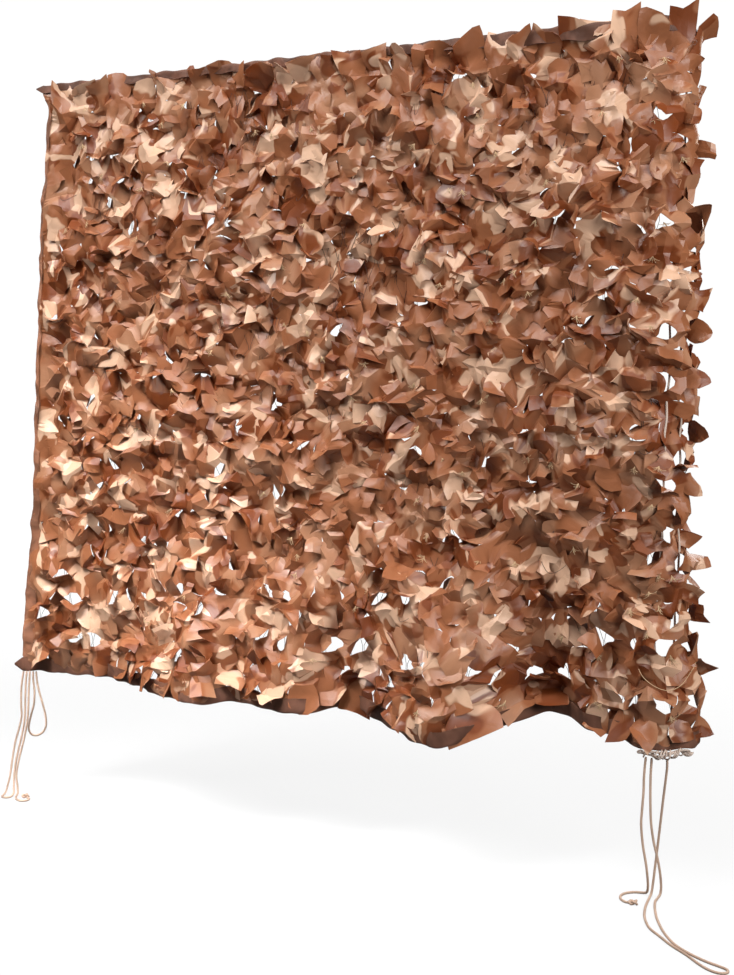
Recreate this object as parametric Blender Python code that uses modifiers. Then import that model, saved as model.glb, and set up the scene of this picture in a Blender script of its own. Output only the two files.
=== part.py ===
"""Camouflage netting: one leaf-cut cloth, bound at its edges and hung by the top edge.

The face of the net looks along -Y, its right side is +X and +Z is up. The origin is
the middle of the top edge. The cloth is cut with staggered slits, and each slit frees
a leaf that stands out from the cloth over its hole. Below, the cloth flares forward in
uneven waves, and its right border curls back. Cords hang from the two lower corners
and end on the ground. Sizes are in metres.
"""

import math

import bmesh
import bpy
import numpy as np
from mathutils import Vector

# The hung cloth
TOP_LEFT_X = -0.83
BOTTOM_LEFT_X = -0.885
CURL_LINE_X = 0.775  # the right border curls back from this line
MAIN_WIDTH = 1.63  # along the cloth, from the left edge to the curl line
BORDER_WIDTH = 0.15  # along the cloth, from the curl line to the free edge
BORDER_RADIUS = 0.062
BELL_RADIUS = 0.018  # what the curl gains in radius at the lower right corner
BELL_START = 0.82
FLARE_START = 0.70  # share of the height where the lower band starts to swing out
CLOTH_THICKNESS = 0.0016
EDGE_MARGIN = 0.036  # plain cloth along each edge, held in the binding
WAVE_DEPTH = 0.006
WAVES_ACROSS, WAVES_DOWN = 2.6, 0.5
CRUMPLE_DEPTH = 0.008
SHIFT = 0.007  # how far a point of the cut pattern strays within the cloth
SEED = 7

# The cut pattern, at twice the pitch of the real cuts
MAIN_CELLS = 12
BORDER_CELLS = 2
CELL_COLUMNS = 3  # two carry the leaf, one is the neck beside it
LEAF_ROWS = 13
STAGGER = (0, 2, 1)
HANGING_SHARE = 0.7  # leaves that hang in front, where the rest stand up behind the cloth
FRONT_ONLY_FROM = 31  # from this column on, where ropes pass behind the cloth
LEAF_LENGTH = 0.062
RIM_LEAF_LENGTH = 0.094
LENGTH_SPREAD = (0.85, 1.1)
MOST_SKEW = 0.05  # sideways lean of a leaf, as a share of its length
LEAST_TILT, MOST_TILT = math.radians(20), math.radians(40)
RIM_TILT = math.radians(14)
CREASE = 0.008
HOLE_DIP = 0.015
HOLE_SHOULDER = 0.004
HOLE_SPREAD = 0.005

# Folded binding tape
TAPE_DEPTH = 0.032
TAPE_WALL = 0.0011
TAPE_GAP = 0.0011  # between the cloth's face and the tape's inner face
TAPE_SEAT = 0.0004  # between the cloth's raw edge and the fold of the tape
TIP_LENGTH = 0.022
TIP_SHARE = 0.35  # how much of the tape's section is left at its pointed tip
JOINT_GAP = 0.0022

# Cords
ROPE_DIAMETER = 0.005
ROPE_GAP = 0.0007  # between a rope and the back of the tapes that it is seated on
ROPE_SLACK = 0.010  # how much further behind the cloth a rope hangs between the tapes
LASHING_REACH = (-0.022, 0.088)  # from the curl line, along the lower edge
LASHING_HEIGHT = 0.016
LASHING_DEPTH = 0.020
LASHING_END = 0.2  # how much of the lashing's section is left at its ends
LASHING_RINGS, LASHING_SIDES = 12, 10
TIE_DIAMETER = 0.0055
SEAT_GAP = 0.0003
GROUND_Z = -1.805
KNOT_RADIUS = 0.0070
KNOT_FLATNESS = 0.86  # height of a knot that lies on the ground, by its width
POINT_SPACING = 2.5  # diameters between a cord's points
FEWEST_CORD_POINTS, MOST_CORD_POINTS = 8, 78
CURVE_STEPS = 24  # between two points of a route, where its curve is measured
ASIDE = 0.002  # step along the cloth that gives its direction

# Waves of the lower edge: place along the edge, how far it stands forward, its height
FOLDS = (
    # x, y, z
    (-0.885, -0.016, -1.495),
    (-0.670, 0.012, -1.497),
    (-0.280, -0.115, -1.503),
    (-0.205, -0.065, -1.500),
    (-0.030, -0.100, -1.505),
    (0.050, -0.020, -1.495),
    (0.350, -0.150, -1.525),
    (0.530, 0.060, -1.472),
    (0.660, 0.005, -1.492),
    (0.775, -0.045, -1.503),
)

# Shapes of a leaf's end: length at its middle, at its corners, and width of the end
LEAF_ENDS = (
    # name, middle, corners, width
    ("square", 1.00, 1.00, 0.72),
    ("pointed", 1.24, 0.80, 0.52),
    ("notched", 0.84, 1.04, 0.74),
    ("tapered", 1.05, 1.00, 0.58),
)

# Two ropes behind the right border: distance past the curl line at the top and bottom
ROPES = (
    # name, past_line_top, past_line_bottom
    ("edge_rope_inner", 0.062, 0.000),
    ("edge_rope_outer", 0.100, 0.052),
)

# Free cords, as points that each passes through: x, y, z
TIE_LEFT_LONG = (
    (-0.8810, -0.0160, -1.4969),
    (-0.8840, -0.0180, -1.5200),
    (-0.8860, -0.0200, -1.5480),
    (-0.8845, -0.0220, -1.5860),
    (-0.8800, -0.0260, -1.6150),
    (-0.8870, -0.0300, -1.6510),
    (-0.8930, -0.0350, -1.6800),
    (-0.8950, -0.0440, -1.7230),
    (-0.8920, -0.0550, -1.7570),
    (-0.8925, -0.0640, -1.7820),
    (-0.8915, -0.0730, -1.7970),
    (-0.8885, -0.0850, -1.8010),
    (-0.8845, -0.0942, -1.8020),
    (-0.8755, -0.0980, -1.8022),
    (-0.8665, -0.0942, -1.8020),
    (-0.8628, -0.0850, -1.8010),
    (-0.8680, -0.0700, -1.7970),
    (-0.8760, -0.0600, -1.7820),
    (-0.8820, -0.0515, -1.7570),
    (-0.8820, -0.0440, -1.7210),
    (-0.8765, -0.0360, -1.6800),
    (-0.8715, -0.0310, -1.6480),
    (-0.8690, -0.0265, -1.6150),
    (-0.8720, -0.0210, -1.5720),
    (-0.8730, -0.0180, -1.5340),
    (-0.8715, -0.0157, -1.4969),
)
TIE_LEFT_SHORT = (
    (-0.8620, -0.0151, -1.4970),
    (-0.8625, -0.0160, -1.5200),
    (-0.8635, -0.0175, -1.5480),
    (-0.8625, -0.0200, -1.5840),
    (-0.8610, -0.0245, -1.6160),
    (-0.8630, -0.0300, -1.6480),
    (-0.8680, -0.0360, -1.6830),
    (-0.8735, -0.0440, -1.7200),
    (-0.8740, -0.0525, -1.7570),
    (-0.8665, -0.0570, -1.7820),
    (-0.8600, -0.0630, -1.7970),
    (-0.8550, -0.0730, -1.8010),
    (-0.8460, -0.0870, -1.8020),
    (-0.8310, -0.0990, -1.8022),
    (-0.8150, -0.1020, -1.8022),
    (-0.8060, -0.0910, -1.8022),
    (-0.8120, -0.0770, -1.8022),
    (-0.8260, -0.0700, -1.8022),
)
TIE_LEFT_LOOP = (
    (-0.8520, -0.0142, -1.4970),
    (-0.8522, -0.0135, -1.5200),
    (-0.8490, -0.0125, -1.5480),
    (-0.8510, -0.0120, -1.5800),
    (-0.8590, -0.0120, -1.6060),
    (-0.8660, -0.0120, -1.6300),
    (-0.8680, -0.0120, -1.6480),
    (-0.8580, -0.0120, -1.6600),
    (-0.8400, -0.0120, -1.6600),
    (-0.8220, -0.0120, -1.6500),
    (-0.8120, -0.0120, -1.6320),
    (-0.8140, -0.0120, -1.6050),
    (-0.8240, -0.0120, -1.5750),
    (-0.8350, -0.0120, -1.5450),
    (-0.8410, -0.0125, -1.5200),
    (-0.8430, -0.0132, -1.4971),
)
TIE_RIGHT_SINGLE = (
    (0.7690, -0.0450, -1.5197),
    (0.7670, -0.0462, -1.5400),
    (0.7655, -0.0475, -1.5650),
    (0.7650, -0.0482, -1.5900),
    (0.7620, -0.0500, -1.6320),
    (0.7610, -0.0515, -1.6580),
    (0.7650, -0.0530, -1.6980),
    (0.7710, -0.0530, -1.7320),
    (0.7740, -0.0515, -1.7600),
    (0.7740, -0.0480, -1.7830),
    (0.7690, -0.0410, -1.7970),
    (0.7580, -0.0360, -1.8010),
    (0.7440, -0.0370, -1.8020),
    (0.7300, -0.0480, -1.8022),
    (0.7240, -0.0660, -1.8022),
    (0.7280, -0.0850, -1.8022),
    (0.7400, -0.0990, -1.8022),
    (0.7560, -0.1020, -1.8022),
)
TIE_RIGHT_DOUBLED = (
    (0.7810, -0.0445, -1.5205),
    (0.7800, -0.0455, -1.5400),
    (0.7792, -0.0465, -1.5600),
    (0.7792, -0.0480, -1.6060),
    (0.7810, -0.0495, -1.6500),
    (0.7865, -0.0495, -1.6890),
    (0.7940, -0.0485, -1.7210),
    (0.7985, -0.0460, -1.7500),
    (0.8000, -0.0430, -1.7780),
    (0.7985, -0.0440, -1.7950),
    (0.7960, -0.0540, -1.8010),
    (0.7965, -0.0720, -1.8020),
    (0.8040, -0.1000, -1.8022),
    (0.8150, -0.1320, -1.8022),
    (0.8300, -0.1690, -1.8022),
    (0.8590, -0.2260, -1.8022),
    (0.8940, -0.2760, -1.8022),
    (0.9320, -0.3090, -1.8022),
    (0.9680, -0.3310, -1.8022),
    (0.9960, -0.3430, -1.8022),
    (1.0120, -0.3520, -1.8022),
    (1.0150, -0.3650, -1.8022),
    (1.0050, -0.3730, -1.8022),
    (0.9850, -0.3680, -1.8022),
    (0.9600, -0.3490, -1.8022),
    (0.9280, -0.3170, -1.8022),
    (0.8895, -0.2835, -1.8022),
    (0.8580, -0.2500, -1.8022),
    (0.8270, -0.2150, -1.8022),
    (0.8030, -0.1650, -1.8022),
    (0.7890, -0.1150, -1.8022),
    (0.7830, -0.0800, -1.8020),
    (0.7800, -0.0560, -1.8010),
    (0.7790, -0.0400, -1.7970),
    (0.7795, -0.0320, -1.7820),
    (0.7830, -0.0265, -1.7440),
    (0.7900, -0.0240, -1.6820),
    (0.7980, -0.0260, -1.6190),
    (0.8060, -0.0305, -1.5650),
    (0.8100, -0.0345, -1.5400),
    (0.8110, -0.0362, -1.5207),
)

# Colours, roughness
FINISHES = {
    "cloth": ((0.40, 0.20, 0.125), 0.62),
    "tape": ((0.20, 0.105, 0.07), 0.70),
    "rope": ((0.50, 0.36, 0.24), 0.80),
    "tie": ((0.62, 0.45, 0.30), 0.80),
}


def ease(share):
    """0 to 1 with no slope at either end, and flat outside them."""
    share = np.clip(share, 0.0, 1.0)
    return share * share * (3.0 - 2.0 * share)


def fold(edge_x, column):
    """Value of one column of FOLDS at a place along the edge, eased between its rows."""
    places = np.array([row[0] for row in FOLDS])
    values = np.array([row[column] for row in FOLDS])
    after = np.clip(np.searchsorted(places, edge_x), 1, len(places) - 1)
    before = after - 1
    share = (edge_x - places[before]) / (places[after] - places[before])
    return values[before] + (values[after] - values[before]) * ease(share)


def hung(across, down):
    """Points of the smooth hung cloth: across in metres along it, down as a share of its height."""
    left = TOP_LEFT_X + (BOTTOM_LEFT_X - TOP_LEFT_X) * down
    share = np.clip(across / MAIN_WIDTH, 0.0, 1.0)
    beyond = np.maximum(across - MAIN_WIDTH, 0.0)
    edge_x = BOTTOM_LEFT_X + share * (CURL_LINE_X - BOTTOM_LEFT_X)
    flare = ease((down - FLARE_START) / (1.0 - FLARE_START))
    phase = 2.0 * math.pi * (WAVES_ACROSS * share + WAVES_DOWN * down)
    wave = np.sin(phase) * np.sin(math.pi * down)
    radius = BORDER_RADIUS + BELL_RADIUS * ease((down - BELL_START) / (1.0 - BELL_START))
    turn = beyond / radius
    x = left + share * (CURL_LINE_X - left) + radius * np.sin(turn)
    y = fold(edge_x, 1) * flare + WAVE_DEPTH * wave + radius * (1.0 - np.cos(turn))
    z = fold(edge_x, 2) * down
    return np.stack([x, y, z], axis=-1)


def grid_lines():
    """Across and down values of the lines that the cut pattern follows."""
    main = np.linspace(EDGE_MARGIN, MAIN_WIDTH, MAIN_CELLS * CELL_COLUMNS + 1)
    border = MAIN_WIDTH + np.linspace(0.0, BORDER_WIDTH, BORDER_CELLS * CELL_COLUMNS + 2)[1:]
    margin = EDGE_MARGIN / abs(FOLDS[0][2])
    rows = np.linspace(margin, 1.0 - margin, 2 * LEAF_ROWS)
    return np.concatenate([[0.0], main, border]), np.concatenate([[0.0], rows, [1.0]])


def cloth_points(random):
    """Grid of points, rows by columns, with the cloth's unevenness, and its unit directions."""
    across, down = grid_lines()
    columns, rows = len(across), len(down)
    wide, tall = np.meshgrid(across, down)
    inside = np.zeros((rows, columns))
    inside[2:-2, 2:-2] = 1.0
    wide = wide + inside * random.uniform(-SHIFT, SHIFT, wide.shape)
    tall = tall + inside * random.uniform(-SHIFT, SHIFT, tall.shape) / abs(FOLDS[0][2])
    points = hung(wide, tall)
    right = np.gradient(points, axis=1)
    right /= np.linalg.norm(right, axis=-1, keepdims=True)
    below = np.gradient(points, axis=0)
    below /= np.linalg.norm(below, axis=-1, keepdims=True)
    front = np.cross(below, right)
    front /= np.linalg.norm(front, axis=-1, keepdims=True)
    crumple = inside * random.uniform(-CRUMPLE_DEPTH, CRUMPLE_DEPTH, wide.shape)
    return points + front * crumple[..., None], right, below, front


def leaf_plan(columns):
    """(first column, first row, rim) of every leaf: rim is 1 at the top edge, -1 at the bottom, else 0."""
    plan = []
    for row in range(LEAF_ROWS):
        start = 1 + STAGGER[row % len(STAGGER)]
        rim = (row == 0) - (row == LEAF_ROWS - 1)
        for first in range(start, columns - CELL_COLUMNS, CELL_COLUMNS):
            plan.append((first, 1 + 2 * row, rim))
    return plan


def finish(name):
    """The named material, made once."""
    material = bpy.data.materials.get(name)
    if material is None:
        colour, roughness = FINISHES[name]
        material = bpy.data.materials.new(name)
        material.use_nodes = True
        shader = material.node_tree.nodes["Principled BSDF"]
        shader.inputs["Base Color"].default_value = (*colour, 1.0)
        shader.inputs["Roughness"].default_value = roughness
        shader.inputs["Metallic"].default_value = 0.0
    return material


def add(name, data, material):
    """Puts the data into the scene as a named object of the netting."""
    piece = bpy.data.objects.new(name, data)
    piece.data.materials.append(finish(material))
    bpy.data.collections["camouflage_netting"].objects.link(piece)
    return piece


def open_leaf(bm, grid, number, first, row, facing, lift, length, end, skew, frames):
    """Cuts one leaf free on three sides and bends it out about its hinge row.

    facing is 1 for a leaf that hangs from its hinge and -1 for one that stands on it.
    """
    points, right, below, front = frames
    hinge, free = (row, row + 1) if facing > 0 else (row + 1, row)
    faces = [face for face in bm.faces if face[grid["leaf"]] == number]
    own = set(faces)
    cut = {
        edge
        for face in faces
        for edge in face.edges
        if sum(face in own for face in edge.link_faces) == 1
        and not all(vert[grid["row"]] == hinge for vert in edge.verts)
    }
    bmesh.ops.split_edges(bm, edges=list(cut))
    _, middle, corners, width = end
    direction = below[hinge, first + 1] * facing
    outward = front[hinge, first + 1]
    beside = right[hinge, first + 1]
    centre = points[hinge, first + 1]
    for vert in {vert for face in faces for vert in face.verts if vert[grid["row"]] == free}:
        step = vert[grid["column"]] - first - 1
        reach = length * (middle if step == 0 else corners)
        base = centre + (points[hinge, first + 1 + step] - centre) * (width if step else 1.0)
        place = base + reach * (direction * math.cos(lift) + outward * math.sin(lift))
        place = place + beside * skew * reach
        place = place + outward * math.copysign(CREASE, lift) * (step == 0)
        vert.co = Vector(place)


def round_hole(points, first, row, facing, below, right):
    """Makes a hole's far side a shallow U: its middle dips, and its corners rise and move apart."""
    free = row + 1 if facing > 0 else row
    away = below[free, first + 1] * facing
    points[free, first + 1] += away * HOLE_DIP
    for column, side in ((first, -1.0), (first + 2, 1.0)):
        points[free, column] -= away * HOLE_SHOULDER
        points[free, column] += right[free, column] * side * HOLE_SPREAD


def leaf_cloth():
    """The cut cloth: a grid, slit round each leaf, its leaves bent out, then given its thickness."""
    random = np.random.default_rng(SEED)
    points, right, below, front = cloth_points(random)
    rows, columns = points.shape[:2]
    plan = leaf_plan(columns)
    facings = []
    for first, _, rim in plan:
        hangs = first >= FRONT_ONLY_FROM or random.random() < HANGING_SHARE
        facings.append(-rim if rim else (1 if hangs else -1))
    for (first, row, rim), facing in zip(plan, facings):
        if rim == 0:
            round_hole(points, first, row, facing, below, right)

    bm = bmesh.new()
    grid = {key: bm.verts.layers.int.new(key) for key in ("row", "column")}
    grid["leaf"] = bm.faces.layers.int.new("leaf")
    verts = []
    for row in range(rows):
        for column in range(columns):
            vert = bm.verts.new(Vector(points[row, column]))
            vert[grid["row"]], vert[grid["column"]] = row, column
            verts.append(vert)
    leaf_at = {
        (row, first + step): number for number, (first, row, _) in enumerate(plan, 1) for step in (0, 1)
    }
    for row in range(rows - 1):
        for column in range(columns - 1):
            corner = row * columns + column
            face = bm.faces.new(
                (verts[corner], verts[corner + columns], verts[corner + columns + 1], verts[corner + 1])
            )
            face[grid["leaf"]] = leaf_at.get((row, column), 0)

    frames = (points, right, below, front)
    for number, ((first, row, rim), facing) in enumerate(zip(plan, facings), 1):
        behind = rim == 0 and facing < 0
        tilt = random.uniform(LEAST_TILT, MOST_TILT) if rim == 0 else RIM_TILT
        reach = LEAF_LENGTH if rim == 0 else RIM_LEAF_LENGTH
        length = reach * random.uniform(*LENGTH_SPREAD)
        end = LEAF_ENDS[random.integers(len(LEAF_ENDS))]
        skew = random.uniform(-MOST_SKEW, MOST_SKEW)
        lift = -tilt if behind else tilt
        open_leaf(bm, grid, number, first, row, facing, lift, length, end, skew, frames)

    bmesh.ops.triangulate(bm, faces=bm.faces[:], quad_method="FIXED")
    mesh = bpy.data.meshes.new("leaf_cloth")
    bm.to_mesh(mesh)
    bm.free()
    piece = add("leaf_cloth", mesh, "cloth")
    wall = piece.modifiers.new("Thickness", "SOLIDIFY")
    wall.thickness = CLOTH_THICKNESS
    wall.offset = 0.0
    return points


def loft(name, rings, material):
    """A closed body through rings of equal count, with a flat cap on each end."""
    bm = bmesh.new()
    loops = [[bm.verts.new(Vector(point)) for point in ring] for ring in rings]
    for first, second in zip(loops, loops[1:]):
        for index in range(len(first)):
            after = (index + 1) % len(first)
            bm.faces.new((first[index], first[after], second[after], second[index]))
    bm.faces.new(reversed(loops[0]))
    bm.faces.new(loops[-1])
    bmesh.ops.recalc_face_normals(bm, faces=bm.faces[:])
    mesh = bpy.data.meshes.new(name)
    bm.to_mesh(mesh)
    bm.free()
    return add(name, mesh, material)


def tape_profile():
    """U of folded tape round a raw edge: (inward from the edge, out from the cloth's middle)."""
    inner = CLOTH_THICKNESS / 2 + TAPE_GAP
    outer = inner + TAPE_WALL
    fold_in = -TAPE_SEAT
    fold_out = fold_in - TAPE_WALL
    front = [(fold_out, outer), (TAPE_DEPTH, outer), (TAPE_DEPTH, inner), (fold_in, inner)]
    return np.array(front + [(a, -b) for a, b in reversed(front)])


def binding(name, edge, inner, tips=(0.0, 0.0)):
    """Tape folded over an edge. edge and inner are matching rows of points on the cloth.

    tips are how far the tape runs past the cloth at each end, narrowing to a point.
    """
    profile = tape_profile()
    along = np.gradient(edge, axis=0)
    along /= np.linalg.norm(along, axis=-1, keepdims=True)
    inward = inner - edge
    inward /= np.linalg.norm(inward, axis=-1, keepdims=True)
    normal = np.cross(along, inward)
    normal /= np.linalg.norm(normal, axis=-1, keepdims=True)
    rings = [
        e + profile[:, :1] * i + profile[:, 1:] * n for e, i, n in zip(edge, inward, normal)
    ]
    for reach, at, sign in ((tips[0], 0, -1.0), (tips[1], -1, 1.0)):
        if reach:
            ring = rings[at]
            narrow = ring.mean(axis=0) + (ring - ring.mean(axis=0)) * TIP_SHARE
            tip = narrow + along[at] * sign * reach
            rings.insert(0 if at == 0 else len(rings), tip)
    return loft(name, rings, "tape")


def bindings(points):
    """Tapes on the top, left and lower edges. The left one fits between the other two."""
    binding("binding_top", points[0], points[1], tips=(TIP_LENGTH, 0.0))
    binding("binding_bottom", points[-1], points[-2], tips=(TIP_LENGTH, 0.0))
    share = (TAPE_DEPTH + JOINT_GAP) / EDGE_MARGIN
    edge, inner = points[:, 0].copy(), points[:, 1].copy()
    for side in (edge, inner):
        side[0] += (side[1] - side[0]) * share
        side[-1] += (side[-2] - side[-1]) * share
    binding("binding_left", edge, inner)


def smooth(route, diameter):
    """Evenly spaced points on the Catmull-Rom curve through a cord's route."""
    route = np.array(route, float)
    ends = (2 * route[0] - route[1], 2 * route[-1] - route[-2])
    knots = np.vstack([ends[0], route, ends[1]])
    t = np.linspace(0.0, 1.0, CURVE_STEPS, endpoint=False)[:, None]
    runs = []
    for a, b, c, d in zip(knots, knots[1:], knots[2:], knots[3:]):
        runs.append(
            0.5 * (2 * b + (c - a) * t + (2 * a - 5 * b + 4 * c - d) * t**2 + (3 * b - a - 3 * c + d) * t**3)
        )
    fine = np.vstack(runs + [route[-1:]])
    walked = np.concatenate([[0.0], np.cumsum(np.linalg.norm(np.diff(fine, axis=0), axis=1))])
    count = round(walked[-1] / (POINT_SPACING * diameter))
    count = min(MOST_CORD_POINTS, max(FEWEST_CORD_POINTS, count))
    marks = np.linspace(0.0, walked[-1], count)
    return np.stack([np.interp(marks, walked, fine[:, axis]) for axis in range(3)], axis=1)


def tube(name, points, diameter, material):
    """A round cord along the points, with filled ends."""
    curve = bpy.data.curves.new(name, "CURVE")
    curve.dimensions = "3D"
    curve.bevel_depth = diameter / 2
    curve.bevel_resolution = 2
    curve.use_fill_caps = True
    spline = curve.splines.new("POLY")
    spline.points.add(len(points) - 1)
    spline.points.foreach_set("co", np.column_stack([points, np.ones(len(points))]).ravel())
    return add(name, curve, material)


def along_row(across, row, place):
    """Point on the straight facets between a row's points, at a distance along the cloth."""
    return np.array([np.interp(place, across, row[:, axis]) for axis in range(3)])


def edge_ropes():
    """Ropes down behind the right border, seated behind the tapes at the top and bottom."""
    across, down = grid_lines()
    rows = [hung(across, np.full(len(across), share)) for share in down]
    tape_back = CLOTH_THICKNESS / 2 + TAPE_GAP + TAPE_WALL
    for name, past_top, past_bottom in ROPES:
        places = MAIN_WIDTH + past_top + (past_bottom - past_top) * ease(down)
        line = np.array([along_row(across, row, place) for row, place in zip(rows, places)])
        ahead = np.array([along_row(across, row, place + ASIDE) for row, place in zip(rows, places)])
        behind = np.cross(ahead - line, np.gradient(line, axis=0))
        behind /= np.linalg.norm(behind, axis=-1, keepdims=True)
        from_edge = np.minimum(down, 1.0 - down)
        slack = ROPE_SLACK * ease((from_edge - down[1]) / (down[2] - down[1]))
        clear = tape_back + ROPE_GAP + ROPE_DIAMETER / 2 + slack
        tube(name, line + behind * clear[:, None], ROPE_DIAMETER, "rope")


def lashing():
    """The bunch of strands wound under the lower right corner, which the right ties leave."""
    across, _ = grid_lines()
    edge = hung(across, np.ones(len(across)))
    reach = np.linspace(*LASHING_REACH, LASHING_RINGS)
    middle_reach = sum(LASHING_REACH) / 2
    off_middle = (reach - middle_reach) / (LASHING_REACH[1] - middle_reach)
    line = np.array([along_row(across, edge, MAIN_WIDTH + place) for place in reach])
    taper = np.sqrt(np.clip(1.0 - off_middle**4, LASHING_END**2, 1.0))
    turn = np.linspace(0.0, 2.0 * math.pi, LASHING_SIDES, endpoint=False)
    depth = np.cross(np.gradient(line, axis=0), (0.0, 0.0, 1.0))
    depth /= np.linalg.norm(depth, axis=-1, keepdims=True)
    drop = TAPE_WALL + TAPE_SEAT + SEAT_GAP + LASHING_HEIGHT / 2
    rings = []
    for index, (centre, size) in enumerate(zip(line, taper)):
        ring = centre + depth[index] * (np.cos(turn) * LASHING_DEPTH / 2 * size)[:, None]
        ring[:, 2] += np.sin(turn) * LASHING_HEIGHT / 2 * size - drop
        rings.append(ring)
    loft("corner_lashing", rings, "rope").data.shade_smooth()


def knot(name, cord_end, before):
    """A pulled-tight knot on a cord's end, on the ground."""
    direction = (cord_end - before) / np.linalg.norm(cord_end - before)
    bm = bmesh.new()
    bmesh.ops.create_icosphere(bm, subdivisions=2, radius=KNOT_RADIUS)
    mesh = bpy.data.meshes.new(name)
    bm.to_mesh(mesh)
    bm.free()
    mesh.shade_smooth()
    piece = add(name, mesh, "tie")
    centre = cord_end + direction * (KNOT_RADIUS + SEAT_GAP)
    centre[2] = GROUND_Z + KNOT_RADIUS * KNOT_FLATNESS
    piece.location = Vector(centre)
    piece.scale = (1.0, 1.0, KNOT_FLATNESS)


def ties():
    """The free cords of the two lower corners, with a knot on each loose end."""
    routes = (
        ("tie_left_long", TIE_LEFT_LONG, False),
        ("tie_left_short", TIE_LEFT_SHORT, True),
        ("tie_left_loop", TIE_LEFT_LOOP, False),
        ("tie_right_single", TIE_RIGHT_SINGLE, True),
        ("tie_right_doubled", TIE_RIGHT_DOUBLED, False),
    )
    for name, route, knotted in routes:
        points = smooth(route, TIE_DIAMETER)
        tube(name, points, TIE_DIAMETER, "tie")
        if knotted:
            knot(name + "_knot", points[-1], points[-2])


def main():
    for old in list(bpy.data.objects):
        bpy.data.objects.remove(old, do_unlink=True)
    collection = bpy.data.collections.new("camouflage_netting")
    bpy.context.scene.collection.children.link(collection)
    points = leaf_cloth()
    bindings(points)
    edge_ropes()
    lashing()
    ties()


main()
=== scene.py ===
"""Camouflage netting, dressed: the leaf-cut cloth, its tapes, cords, knots and string net.

Sizes are in metres in the frame's own axes. The face of the net looks along -Y, its right
side is +X, +Z is up, and the middle of its top edge is the origin. A place on the cloth is
given by two lengths measured on it before it was hung: across, from the left edge, and
drop, from the top edge.
"""

import math

import bpy
import numpy as np
from bpy.props import FloatProperty, FloatVectorProperty, IntProperty, PointerProperty
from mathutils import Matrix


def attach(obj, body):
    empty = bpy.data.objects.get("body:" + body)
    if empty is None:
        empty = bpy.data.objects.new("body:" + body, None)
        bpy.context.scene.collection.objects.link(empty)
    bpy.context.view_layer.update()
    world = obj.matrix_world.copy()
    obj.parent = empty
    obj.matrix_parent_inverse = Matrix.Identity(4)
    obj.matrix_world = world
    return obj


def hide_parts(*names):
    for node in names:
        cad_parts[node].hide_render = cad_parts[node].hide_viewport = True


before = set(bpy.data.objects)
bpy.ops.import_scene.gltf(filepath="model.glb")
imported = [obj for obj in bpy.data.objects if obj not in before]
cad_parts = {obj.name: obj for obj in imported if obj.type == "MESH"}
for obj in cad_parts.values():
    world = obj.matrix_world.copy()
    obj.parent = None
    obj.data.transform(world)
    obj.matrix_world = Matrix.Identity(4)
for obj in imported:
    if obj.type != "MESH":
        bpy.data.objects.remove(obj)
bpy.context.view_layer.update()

bl_info = {
    "name": "Camouflage Netting",
    "version": (1, 0, 0),
    "blender": (4, 5, 0),
    "location": "View3D > Sidebar > Netting",
    "description": "Makes a hung leaf-cut camouflage net with its tapes, ties and string backing",
    "category": "Add Mesh",
}

SEED = 11
FULL_TURN = 2.0 * math.pi
UP = np.array([0.0, 0.0, 1.0])

# The hung shape, as the frame's solids have it
TOP_LEFT_X, BOTTOM_LEFT_X = -0.83, -0.885
CURL_LINE_X = 0.775
MAIN_WIDTH, BORDER_WIDTH = 1.63, 0.15
CLOTH_WIDTH = MAIN_WIDTH + BORDER_WIDTH
DROP = 1.5
BORDER_RADIUS = 0.062
BELL_RADIUS = 0.018
BELL_START = 0.82
FLARE_START = 0.70
WAVE_DEPTH = 0.006
WAVES_ACROSS, WAVES_DOWN = 2.6, 0.5
LEFT_DRAW = 0.018  # how far the left edge is drawn in, a little below the top
DRAWN_FROM, DRAWN_OVER, LET_OUT_FROM, LET_OUT_OVER = 0.01, 0.03, 0.07, 0.20  # shares of the drop
RIPPLE_DEPTH, RIPPLE_ASIDE = 0.0022, 0.0016
TAPE_SEAM = 0.036  # from the top and lower edges to the left tape's ends, where the ropes fall back
GROUND_Z = -1.805

FOLDS = (
    # x, y, z along the lower edge
    (-0.885, -0.016, -1.495),
    (-0.67, 0.012, -1.497),
    (-0.28, -0.115, -1.503),
    (-0.205, -0.065, -1.5),
    (-0.03, -0.1, -1.505),
    (0.05, -0.02, -1.495),
    (0.35, -0.15, -1.525),
    (0.53, 0.06, -1.472),
    (0.66, 0.005, -1.492),
    (0.775, -0.045, -1.503),
)

# Routes of the ties, from the lower edge, as x, y, z
TIE_LEFT_LONG = (
    (-0.881, -0.016, -1.4969), (-0.884, -0.018, -1.52), (-0.886, -0.02, -1.548),
    (-0.8845, -0.022, -1.586), (-0.88, -0.026, -1.615), (-0.887, -0.03, -1.651),
    (-0.893, -0.035, -1.68), (-0.895, -0.044, -1.723), (-0.892, -0.055, -1.757),
    (-0.8925, -0.064, -1.782), (-0.8915, -0.073, -1.797), (-0.8885, -0.085, -1.801),
    (-0.8845, -0.0942, -1.802), (-0.8755, -0.098, -1.8022), (-0.8665, -0.0942, -1.802),
    (-0.8628, -0.085, -1.801), (-0.868, -0.07, -1.797), (-0.876, -0.06, -1.782),
    (-0.882, -0.0515, -1.757), (-0.882, -0.044, -1.721), (-0.8765, -0.036, -1.68),
    (-0.8715, -0.031, -1.648), (-0.869, -0.0265, -1.615), (-0.872, -0.021, -1.572),
    (-0.873, -0.018, -1.534), (-0.8715, -0.0157, -1.4969),
)
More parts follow.
